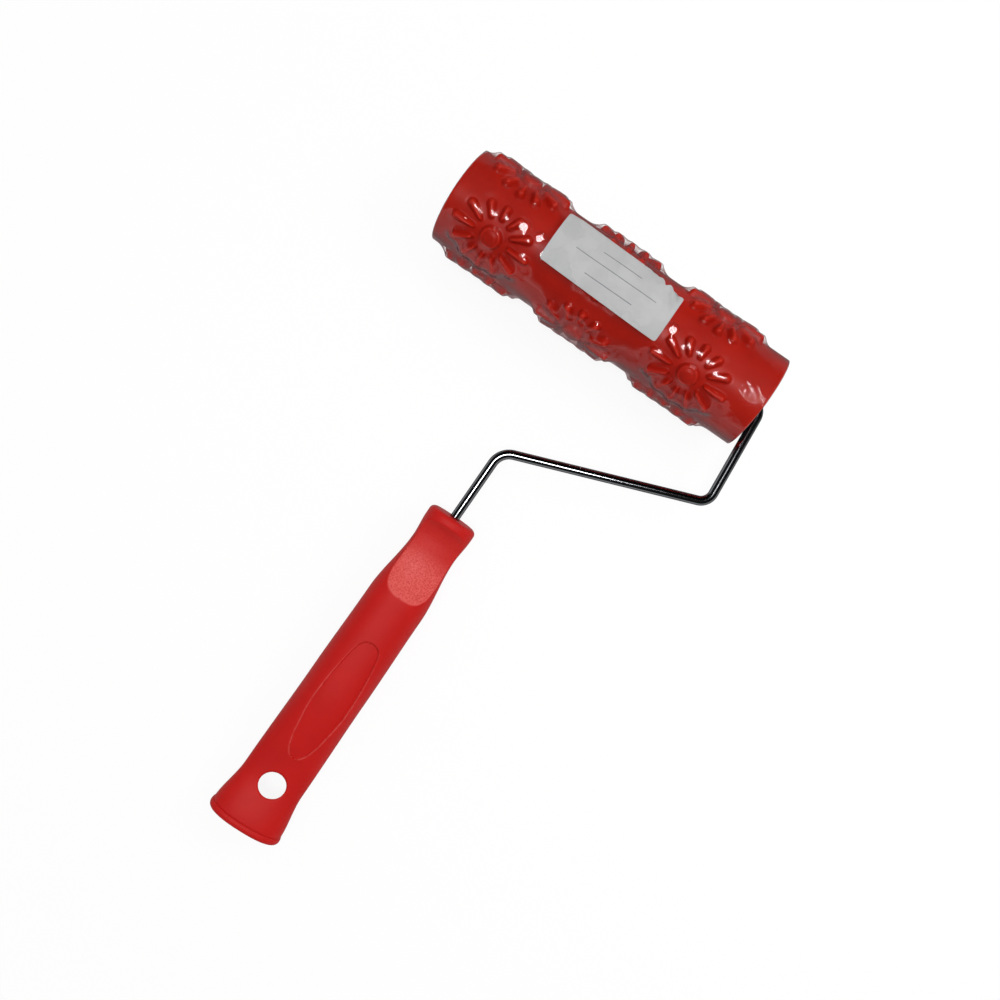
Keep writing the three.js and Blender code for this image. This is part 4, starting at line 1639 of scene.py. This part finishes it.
@dataclass
class WireFrame(Assembly):
    """The bent chromed wire, and the washers, collar and nut on its axle.

    Args:
        core: the roller's core, whose sizes they follow.
    """

    core: RollerCore = field(kw_only=True)
    body: ClassVar[Body] = Body.FRAME
    turned_sides: int = 60
    axle_bend: float = 8.0
    elbow_bend: float = 7.0
    shoulder_bend: float = 10.0
    leg_clearance: float = 1.1
    leg_spread: float = 5.4
    elbow_drop: float = 55.1
    shoulder_drop: float = 93.5
    handle_side: float = -1.2
    neck_drop: float = 134.2
    tang_length: float = 74.0
    washer_radius: float = 6.4
    washer_thickness: float = 1.0
    collar_radius: float = 4.6
    collar_length: float = 4.0
    nut_radius: float = 5.0
    nut_length: float = 4.6
    nut_end: float = 1.0
    nut_eye: float = 0.01
    end_rounding: float = 0.6
    end_steps: int = 5
    rounding: float = 0.22
    sides: int = 40
    bend_steps: int = 22
    straight_step: float = 4.0
    sharp: float = 50.0
    chrome: Finish = Metal(
        "bright_chrome", (0.26, 0.265, 0.28), (0.2, 0.2, 0.215), spread=0.3, roughness=0.08,
        grain_scale=160.0, grain_depth=0.004, pits=0.1, scuff_amount=0.15, edge_tint=(0.02, 0.02, 0.02),
    )
    zinc: Finish = Metal(
        "zinc_plated_steel", (0.5, 0.51, 0.53), (0.36, 0.36, 0.37), roughness=0.32,
        grain_scale=900.0, grain_depth=0.02, drawn=(1.0, 0.12, 0.12),
    )

    @property
    def axes(self) -> Matrix:
        """Its own axes."""
        return self.placement.wire()

    @property
    def washer_outside(self) -> float:
        """The place of a washer's outer face."""
        return self.core.bush_outside + self.core.seat_gap + self.washer_thickness

    @property
    def collar_place(self) -> float:
        """Where the collar starts at the wire's end, and the nut at the free end."""
        return self.washer_outside + self.core.seat_gap

    def centre_line(self) -> list[tuple[Vector, Vector]]:
        """Lays out the wire's centre line, round its bends.

        Returns:
            Its points, each with the way that the wire runs there.
        """
        leg = self.core.sizes.half + self.leg_clearance + self.core.rod_radius
        far_end = -(self.collar_place + self.nut_length - self.nut_end - self.core.seat_gap)
        corners = [
            (Vector((far_end, 0, 0)), 0.0),
            (Vector((leg, 0, 0)), self.axle_bend),
            (Vector((leg + self.leg_spread, -self.elbow_drop, 0)), self.elbow_bend),
            (Vector((self.handle_side, -self.shoulder_drop, 0)), self.shoulder_bend),
            (Vector((self.handle_side, -self.neck_drop - self.tang_length, 0)), 0.0),
        ]
        ways = [(b[0] - a[0]).normalized() for a, b in zip(corners, corners[1:])]
        line = [(corners[0][0], ways[0])]
        for (corner, bend), before, after in zip(corners[1:], ways, ways[1:]):
            angle = before.angle(after)
            side = math.copysign(1, before.cross(after).z)
            start = corner - before * bend * math.tan(angle / 2)
            centre = start + Vector((-before.y, before.x, 0)) * side * bend
            for step in range(self.bend_steps + 1):
                turn = Matrix.Rotation(side * angle * step / self.bend_steps, 3, "Z")
                line.append((centre + turn @ (start - centre), turn @ before))
        return self.stepped(line + [(corners[-1][0], ways[-1])])

    def stepped(self, line: list[tuple[Vector, Vector]]) -> list[tuple[Vector, Vector]]:
        """Divides the long straight runs of a line.

        Args:
            line: its points, each with the way that the line runs there.

        Returns:
            The line with points no further apart than the straight step.
        """
        made = []
        for (start, way), (end, _) in zip(line, line[1:]):
            count = max(1, math.ceil((end - start).length / self.straight_step))
            made += [(start.lerp(end, i / count), way) for i in range(count)]
        return made + [line[-1]]

    def rod(self) -> Object:
        """Makes the wire, with a rounded free end.

        Returns:
            The wire.
        """
        line = self.centre_line()
        radius, edge = self.core.rod_radius, self.end_rounding
        first, way = line[0]
        stations = [(first, way, radius / 3)]
        for a in np.linspace(0, QUARTER_TURN, self.end_steps):
            point = first + way * edge * (1 - math.cos(a))
            stations.append((point, way, radius - edge * (1 - math.sin(a))))
        stations += [(point, run, radius) for point, run in line[1:]]
        turn = turns(self.sides)[:, None]
        rings = []
        for point, run, reach in stations:
            side = np.array((-run.y, run.x, 0.0))
            rings.append(np.array(point) + reach * (np.cos(turn) * side + np.sin(turn) * (0, 0, 1)))
        return ringed("bent_wire", np.array(rings), self.axes, self.sharp, loop=False)

    def build(self) -> None:
        """Makes the wire and the small parts on its axle."""
        self.hand_over(self.rod(), self.chrome, Slot.WIRE, "frame_rod")
        bore, start = self.core.axle_bore, self.collar_place
        outside, inside = self.washer_outside, self.washer_outside - self.washer_thickness
        reach = self.washer_radius
        washer = [(inside, bore), (outside, bore), (outside, reach), (inside, reach)]
        end, reach = start + self.collar_length, self.collar_radius
        collar = [(start, bore), (end, bore), (end, reach), (start, reach)]
        nut_outside = start + self.nut_length
        nut_inside = nut_outside - self.nut_end
        nut = [
            (start, bore), (start, self.nut_radius), (nut_inside, self.nut_radius),
            (nut_outside, self.nut_radius - self.nut_end), (nut_outside, self.nut_eye),
            (nut_inside, self.nut_eye), (nut_inside, bore),
        ]
        for name, node, profile, side in (
            ("washer_outer", "thrust_washer_outer", washer, Side.OUTER),
            ("washer_inner", "thrust_washer_inner", washer, Side.INNER),
            ("axle_collar", "stop_collar", collar, Side.OUTER),
            ("axle_nut", "push_nut", nut, Side.INNER),
        ):
            self.hand_over(self.turned(name, profile, self.rounding, side), self.zinc, Slot.ZINC, node)


# The handle


@dataclass
class Handle(Assembly):
    """The moulded handle: shell with thumb hollow, leaf panel and hanging hole, and its end cap.

    Args:
        wire: the wire frame that carries it.
        turn: how far it is turned on the tang, in degrees.
        places: distances from the neck end, with the width and the thickness there.
        section_power: how square a section is: 2 is an ellipse.
        lip_swell: the lip's rings, as distances from its start with shares of its proudness.
        scoop_floor: how deep the hollow is along its length, as shares.
        frost_depths: how deep in the hollow its frost starts and is full.
        frost_and_sheen_shares: where along the hollow the frost and its painted sheen start to show fully and do.
        frost_and_sheen_least: how much of them shows before that.
        rim_rise: the depths between which the painted highlight on the hollow's rim comes.
        rim_fall: the depths between which it goes.
        rim_shares: where along the hollow it starts and is full.
        leaf_widths: how wide the panel is along its length, as shares.
        line_out: how far outside the panel's edge its painted highlight line runs.
        line_shares: where along the panel the line starts to grow and has grown.
        line_least: how strong it is before that.
        line_gain: how much stronger it is after that.
        plug_face: how far inside the plug's side the rings of its end are.
        seam: how far under the surface the seam's bottom and its edge are.
        butt_face: how far inside the rounded lip the rings of the flat end are.
        crowding: how much closer the points are on the top.
        hollow_mask: the attribute that marks the hollow.
        painted_rim_highlight_mask: the attribute that marks the painted highlights on the rims.
    """

    wire: WireFrame = field(kw_only=True)
    body: ClassVar[Body] = Body.FRAME
    hollow_mask: ClassVar[str] = "hollow"
    # marks the painted highlights on the hollow's rim and the panel's edge
    painted_rim_highlight_mask: ClassVar[str] = "rim"
    length: float = 192.5
    turn: float = 6.0
    wall: float = 2.4
    neck_rounding: float = 2.6
    neck_steps: int = 9
    neck_chamfer: float = 0.5
    places: tuple[tuple[float, float, float], ...] = (
        (5.5, 26.8, 23.4), (18.5, 25.0, 21.6), (53.0, 31.7, 25.6), (104.0, 33.0, 27.0),
        (164.0, 34.6, 14.0), (188.9, 40.4, 21.6),
    )
    section_power: float = 2.35
    mouth_chamfer: float = 0.3
    lip_height: float = 4.2
    lip_rounding: float = 2.4
    lip_proud: float = 0.6
    lip_steps: int = 10
    lip_swell: tuple[Pair, ...] = ((0.5, 0.7), (1.2, 1.0))
    seam: Pair = (0.9, 0.3)
    plug_depth: float = 7.0
    plug_chamfer: float = 0.5
    plug_face: tuple[float, ...] = (5.0, 2.0, 0.5)
    butt_face: tuple[float, ...] = (1.5, 4.0, 7.0)
    bore_depth: float = 14.0
    socket_radius: float = 4.6
    cavity_place: float = 80.0
    cavity_start: float = 4.0
    cavity_steps: int = 16
    scoop_place: float = 4.6
    scoop_length: float = 43.4
    scoop_depth: float = 5.4
    scoop_crown: float = 42.0
    scoop_blend: float = 0.22
    scoop_floor: tuple[Pair, ...] = (
        (-0.12, -0.6), (0.0, 0.0), (0.07, 0.5), (0.18, 0.88), (0.36, 1.0), (0.58, 0.84), (0.8, 0.5),
        (1.0, 0.0), (1.14, -0.42),
    )
    frost_depths: Pair = (0.08, 0.3)
    frost_and_sheen_shares: Pair = (0.3, 0.62)
    frost_and_sheen_least: float = 0.15
    rim_rise: Pair = (0.0, 0.12)
    rim_fall: Pair = (0.5, 0.15)
    rim_shares: Pair = (0.5, 0.8)
    leaf_place: float = 73.8
    leaf_length: float = 72.6
    leaf_width: float = 19.0
    leaf_depth: float = 0.95
    leaf_step: float = 0.6
    leaf_side: float = 1.4
    leaf_widths: tuple[Pair, ...] = (
        (0.0, 0.0), (0.004, 0.2), (0.012, 0.36), (0.025, 0.48), (0.04, 0.57), (0.065, 0.65), (0.1, 0.71),
        (0.22, 0.85), (0.4, 0.98), (0.58, 1.0),
        (0.74, 0.86), (0.88, 0.67), (0.965, 0.4), (0.99, 0.22), (1.0, 0.0),
    )
    line_out: float = 0.1
    line_width: float = 0.4
    line_shares: Pair = (0.1, 0.5)
    line_least: float = 0.3
    line_gain: float = 0.6
    hole_from_butt: float = 25.8
    hole_side: float = 0.8
    hole_slant: float = 16.0
    hole_radius: float = 7.0
    hole_back_radius: float = 9.4
    hole_wall: float = 1.8
    hole_rounding: float = 1.2
    hole_sides: int = 96
    sides: int = 204
    crowding: float = 0.45
    step: float = 0.52
    sharp: float = 32.0
    finish: Finish = GrainedPlastic(
        "red_grained_plastic", (0.53, 0.006, 0.004), (0.43, 0.0045, 0.003), spread=0.4,
        roughness=0.5, grain_scale=2300.0, grain_depth=0.02, scuff_amount=0.18,
    )

    @property
    def shell_length(self) -> float:
        """How long the shell is without the cap's lip."""
        return self.length - self.lip_height - self.wire.core.seat_gap

    @property
    def half_tail(self) -> float:
        """Half the thickness at the hanging hole."""
        return self.places[4][2] / 2

    @property
    def slant(self) -> float:
        """How far the hole's middle moves for each millimetre of thickness."""
        return math.tan(math.radians(self.hole_slant))

    @property
    def axes(self) -> Matrix:
        """Its own axes: it runs from its neck end towards -Y, turned on the tang."""
        neck = Vector((self.wire.handle_side, -self.wire.neck_drop, 0)) * MM
        turn = Matrix.Rotation(math.radians(self.turn), 4, "Y")
        return self.placement.wire() @ Matrix.Translation(neck) @ turn

    def halves(self, place: float) -> Pair:
        """Eases the handle's size between the named places.

        Args:
            place: how far it is from the neck end.

        Returns:
            Half the width and half the thickness there.
        """
        at = min(max(place, self.places[0][0]), self.places[-1][0])
        later = max(1, next(i for i, named in enumerate(self.places) if named[0] >= at))
        (start, *low), (end, *high) = self.places[later - 1], self.places[later]
        t = (at - start) / (end - start)
        ease = t * t * (3 - 2 * t)
        width, thickness = ((a + (b - a) * ease) / 2 for a, b in zip(low, high))
        return width, thickness

    def around(self) -> np.ndarray:
        """Angles round the handle, closest on its top, where the hollow and the panel are."""
        turn = turns(self.sides)
        return turn + self.crowding * np.cos(turn)

    def ring(self, place: float, drawn_in: float) -> np.ndarray:
        """A ring round the handle.

        Args:
            place: how far it is from the neck end.
            drawn_in: how far it is inside the surface.

        Returns:
            Its points.
        """
        width, thickness = (half - drawn_in for half in self.halves(place))
        power = 2 / self.section_power
        across, up = np.cos(self.around()), np.sin(self.around())
        x = np.sign(across) * np.abs(across) ** power * width
        z = np.sign(up) * np.abs(up) ** power * thickness
        return np.stack([x, np.full_like(x, -place), z], axis=-1)

    def circle(self, place: float, radius: float) -> np.ndarray:
        """A round ring at a place."""
        turn = self.around()
        return np.stack([radius * np.cos(turn), np.full_like(turn, -place), radius * np.sin(turn)], axis=-1)

    def carve(self, points: np.ndarray) -> tuple[np.ndarray, dict[str, np.ndarray]]:
        """Lets the thumb hollow, the leaf panel and the hole's rounded rims into the surface.

        Args:
            points: the surface's rings.

        Returns:
            The carved rings, and by name the mask of the hollow, for its frost and painted sheen, and the mask of
            the painted highlights on the rims.
        """
        x, place, z = points[..., 0], -points[..., 1], points[..., 2].copy()
        share = (place - self.scoop_place) / self.scoop_length
        lip, shoulder = self.places[0][2], self.places[2][2]
        brim = (lip + (shoulder - lip) * share) / 2
        floor = brim - self.scoop_depth * through(self.scoop_floor, share) - x**2 / (2 * self.scoop_crown)
        inside = (z > 0) & (share > self.scoop_floor[0][0]) & (share < self.scoop_floor[-1][0])
        carved = np.where(inside, soft_min(z, floor, self.scoop_blend), z)
        depth = z - carved
        hollow = np.where(inside, smoothstep(*self.frost_depths, depth), 0.0)
        # the mask grows along the hollow where its painted sheen is to show
        hollow *= self.frost_and_sheen_least + (1 - self.frost_and_sheen_least) * smoothstep(*self.frost_and_sheen_shares, share)
        # painted highlight along the hollow's rim
        rim = smoothstep(*self.rim_rise, depth) * smoothstep(*self.rim_fall, depth)
        rim *= smoothstep(*self.rim_shares, share)
        leaf_share = (place - self.leaf_place) / self.leaf_length
        within = (leaf_share > 0) & (leaf_share < 1) & (z > 0)
        inward = through(self.leaf_widths, leaf_share) * self.leaf_width / 2 - np.abs(x - self.leaf_side)
        # painted highlight line just outside the panel's edge
        line = np.exp(-((inward + self.line_out) / self.line_width) ** 2)
        line *= self.line_least + self.line_gain * smoothstep(*self.line_shares, leaf_share)
        rim = np.where(within, np.maximum(rim, line), rim)
        carved -= np.where(within, smoothstep(0.0, self.leaf_step, inward) * self.leaf_depth, 0.0)
        for side, radius in ((1, self.hole_radius), (-1, self.hole_back_radius)):
            middle = self.length - self.hole_from_butt - z * self.slant
            away = np.hypot(x - self.hole_side, place - middle) - radius
            short = np.clip(self.hole_rounding - away, 0, self.hole_rounding)
            drop = self.hole_rounding - np.sqrt(self.hole_rounding**2 - short**2)
            carved = np.where(np.sign(z) == side, carved - side * drop, carved)
        return np.stack([x, -place, carved], axis=-1), {self.hollow_mask: hollow, self.painted_rim_highlight_mask: rim}

    def hole(self, wall: float, reach: float) -> Object:
        """A solid of the hanging hole, or of the wall round it.

        Args:
            wall: how much wider than the hole it is.
            reach: how far it runs from the handle's middle.

        Returns:
            The solid.
        """
        slope = (self.hole_back_radius - self.hole_radius) / (2 * self.half_tail)
        middle = (self.hole_back_radius + self.hole_radius) / 2 + wall
        turn = turns(self.hole_sides)
        rings = []
        for z in (-reach, reach):
            radius = middle - slope * z
            x = self.hole_side + radius * np.cos(turn)
            y = -self.length + self.hole_from_butt + radius * np.sin(turn) + self.slant * z
            rings.append(np.stack([x, y, np.full_like(x, z)], axis=-1))
        return ringed("hole", np.array(rings), self.axes, loop=False)

    def shell(self) -> Object:
        """Makes the hollow shell: skin, cavity, socket for the tang, and hanging hole.

        Returns:
            The shell.
        """
        edge, end, chamfer = self.neck_rounding, self.shell_length, self.mouth_chamfer
        bore = self.wire.core.rod_radius + self.wire.core.seat_gap
        arc = np.linspace(QUARTER_TURN, 0, self.neck_steps)
        outside = [self.ring(edge * (1 - math.sin(a)), edge * (1 - math.cos(a))) for a in arc]
        stations = np.linspace(edge, end - chamfer, int(end / self.step))[1:]
        outside += [self.ring(place, 0) for place in stations]
        outside, masks = self.carve(np.array(outside))
        inside = [self.ring(end, chamfer), self.ring(end, self.wall)]
        cavity = np.linspace(end - self.cavity_start, self.cavity_place, self.cavity_steps)
        inside += [self.ring(place, self.wall) for place in cavity]
        inside += [self.circle(place, self.socket_radius) for place in (self.cavity_place, self.bore_depth)]
        inside += [self.circle(place, bore) for place in (self.bore_depth, self.neck_chamfer)]
        mouth = self.circle(0, bore + self.neck_chamfer)
        face = [mouth + (outside[0] - mouth) * share for share in (0.0, 0.35, 0.7)]
        rings = np.concatenate([outside, np.array(inside + face)])
        made = ringed("handle_grip", rings, self.axes, self.sharp)
        for name, mask in masks.items():
            values = np.zeros(len(made.data.vertices), np.float32)
            values[: mask.size] = mask.ravel()
            made.data.attributes.new(name, "FLOAT", "POINT").data.foreach_set("value", values)
        round_hole = self.hole(self.hole_wall, self.half_tail - self.wall / 2)
        made = combine(made, [round_hole], "UNION", self.sharp)
        return combine(made, [self.hole(0.0, self.half_tail + self.wall * 2)], "DIFFERENCE", self.sharp)

    def cap(self) -> Object:
        """Makes the end cap: a rounded lip and a plug.

        Returns:
            The cap.
        """
        gap, edge, proud = self.wire.core.seat_gap, self.lip_rounding, self.lip_proud
        start = self.length - self.lip_height
        seam, seat = start - 0.8 * gap, self.wall + gap
        plug_end = start - self.plug_depth
        sections = [(plug_end, seat + inward) for inward in self.plug_face]
        sections += [(plug_end + self.plug_chamfer, seat), (start, seat)]
        sections += [(seam, inward) for inward in self.seam] + [(start, 0.0)]
        sections += [(start + along, -share * proud) for along, share in self.lip_swell]
        for a in np.linspace(0, QUARTER_TURN, self.lip_steps):
            sections.append((self.length - edge * (1 - math.sin(a)), edge * (1 - math.cos(a)) - proud))
        sections += [(self.length, edge + inward) for inward in self.butt_face]
        rings = np.array([self.ring(place, inset) for place, inset in sections])
        return ringed("handle_butt", rings, self.axes, self.sharp, loop=False)

    def build(self) -> None:
        """Makes the shell and its end cap, and dresses the plug in its socket."""
        self.hand_over(self.shell(), self.finish, Slot.HANDLE, "handle_shell")
        self.hand_over(self.cap(), self.finish, Slot.HANDLE, "handle_end_cap")
        plug = frame["nodes"]["tang_plug"]
        plug.data.materials.clear()
        plug.data.materials.append(BLACK_PLASTIC.material())


# The studio


@dataclass(frozen=True)
class Lamp:
    """A soft box that looks at the tool.

    Args:
        name: its name.
        away: how far it is from the tool's middle, in millimetres.
        from_top: its angle from straight above, in degrees.
        heading: its bearing from +X towards +Y, in degrees.
        size: its two sides, in millimetres.
        power: its power, in watts.
        mirrored: True if glossy surfaces mirror it.
    """

    name: str
    away: float
    from_top: float
    heading: float
    size: Pair
    power: float
    mirrored: bool = False

    def build(self) -> None:
        """Makes the lamp."""
        data = bpy.data.lights.new(self.name, "AREA")
        data.shape, data.energy = "RECTANGLE", self.power
        data.size, data.size_y = (side * MM for side in self.size)
        tilt, turn = math.radians(self.from_top), math.radians(self.heading)
        way = Vector((math.sin(tilt) * math.cos(turn), math.sin(tilt) * math.sin(turn), math.cos(tilt)))
        matrix = Matrix.LocRotScale(way * self.away * MM, way.to_track_quat("Z", "Y"), None)
        placed(self.name, data, matrix).visible_glossy = self.mirrored


@dataclass
class Studio:
    """Camera, lamps, floor and backdrop, laid out round the axle and the camera's aim.

    Args:
        placement: where the axle is.
        image_turn: how far the photograph is turned, in degrees.
        far_side_share: how bright the mirrored room is on the far side of the axle.
        near_side_share: how bright it is on the handle's side.
        fill: how bright the room is for what isn't mirrored.
        overhead_share: how bright the mirrored room is straight above.
    """

    placement: Placement
    lens: float = 36.0
    sensor: float = 36.0
    clip: Pair = (0.01, 50.0)
    camera_height: float = 498.7
    camera_side: float = 12.5
    camera_back: float = 113.4
    image_turn: float = 34.81
    floor_size: float = 8000.0
    floor_drop: float = 0.5
    floor_white: float = 0.97
    far_side_reach: float = 22.0
    far_side_share: float = 0.22
    near_side_share: float = 0.5
    fill: float = 0.3
    overhead_share: float = 0.02
    lamps: tuple[Lamp, ...] = (
        Lamp("key", 1500, 2.5, 270, (350, 250), 5.8, mirrored=True),
        Lamp("glow", 1520, 2.5, 270, (480, 500), 1.3, mirrored=True),
        Lamp("overhead", 1540, 2.5, 270, (700, 600), 3.0),
        Lamp("soft", 1350, 36, 88, (1100, 1100), 3.2),
        Lamp("right", 700, 45, 40, (300, 300), 1.2),
        Lamp("side", 1300, 68, 165, (700, 700), 0.7),
    )

    def camera(self) -> None:
        """A camera that looks straight down, turned as the photograph is."""
        data = bpy.data.cameras.new("camera")
        data.lens, data.sensor_width = self.lens, self.sensor
        data.clip_start, data.clip_end = self.clip
        offset = Vector((self.camera_side, -self.camera_back, self.camera_height)) * MM
        turn = Matrix.Rotation(math.radians(self.image_turn), 4, "Z")
        matrix = Matrix.Translation(self.placement.axle + offset) @ turn
        bpy.context.scene.camera = placed("camera", data, matrix)

    def floor(self) -> None:
        """A white floor that keeps the tool's shadow near it, and is dimmer where it is mirrored."""
        half = self.floor_size / 2 * MM
        mesh = bpy.data.meshes.new("floor")
        corners = [(-half, -half, 0), (half, -half, 0), (half, half, 0), (-half, half, 0)]
        mesh.from_pydata(corners, [], [(0, 1, 2, 3)])
        made = placed("floor", mesh, Matrix.Translation((0, 0, -self.floor_drop * MM)))
        material, shader = new_material("white_floor")
        place = shader.place()
        path = shader.node("LightPath").outputs
        far_from = self.placement.axle.y
        dimmer = shader.ramp(
            shader.split(place)[1], far_from, far_from + self.far_side_reach * MM,
            bottom=1.0 - self.near_side_share, top=1.0 - self.far_side_share,
        )
        dimmed = shader.math("MULTIPLY", dimmer, path["Is Glossy Ray"])
        matte = shader.node("BsdfDiffuse", {"Color": shader.blend(dimmed, (self.floor_white,) * 3, BLACK)})
        glow = shader.node("Emission", {"Color": shader.blend(dimmed, WHITE, BLACK)})
        from_middle = shader.node("VectorMath", {0: place}, operation="LENGTH").outputs["Value"]
        share = shader.ramp(from_middle, low=0.2, high=0.9, bottom=0.9)
        soft = shader.math("MAXIMUM", path["Is Glossy Ray"], path["Is Transmission Ray"])
        seen = shader.math("MAXIMUM", path["Is Camera Ray"], soft)
        shader.finish(shader.math("MULTIPLY", seen, share), matte, glow)
        mesh.materials.append(material)

    def backdrop(self) -> None:
        """A white backdrop for the camera, dimmer for what the tool mirrors from above."""
        world = bpy.data.worlds.new("backdrop")
        bpy.context.scene.world = world
        world.use_nodes = True
        shader = Shader(world.node_tree)
        path = shader.node("LightPath").outputs
        way = shader.split(shader.node("TexCoord").outputs["Generated"])
        near_side = shader.ramp(way[1], low=0.0, high=0.4, bottom=1.0, top=self.far_side_share)
        above = shader.ramp(way[2], low=0.0, high=0.3, bottom=1.0, top=self.overhead_share)
        mirrored = shader.math("MULTIPLY", above, near_side)
        soft = shader.math("MAXIMUM", path["Is Glossy Ray"], path["Is Transmission Ray"])
        fill = shader.math("MULTIPLY_ADD", soft, shader.math("SUBTRACT", mirrored, self.fill), self.fill)
        seen = shader.math("MULTIPLY", path["Is Camera Ray"], shader.math("SUBTRACT", 1.0, fill))
        sky = shader.node("Background", {"Color": WHITE, "Strength": shader.math("ADD", fill, seen)})
        shader.node("OutputWorld", {"Surface": sky.outputs[0]})

    def build(self) -> None:
        """Makes the studio."""
        self.camera()
        self.floor()
        self.backdrop()
        for lamp in self.lamps:
            lamp.build()
        bpy.context.scene.view_settings.view_transform = "Standard"


def main() -> None:
    """Builds the studio and the tool."""
    logging.basicConfig(level=logging.INFO, format="%(name)s %(message)s")
    placement = Placement.from_record(frame["record"], frame["joints"])
    core = RollerCore(placement)
    wire = WireFrame(placement, core=core)
    roller = (PatternedSleeve(placement), ShrinkFilm(placement), PaperLabel(placement), core)
    for assembly in (Studio(placement), *roller, wire, Handle(placement, wire=wire)):
        assembly.build()


if __name__ == "__main__":
    main()
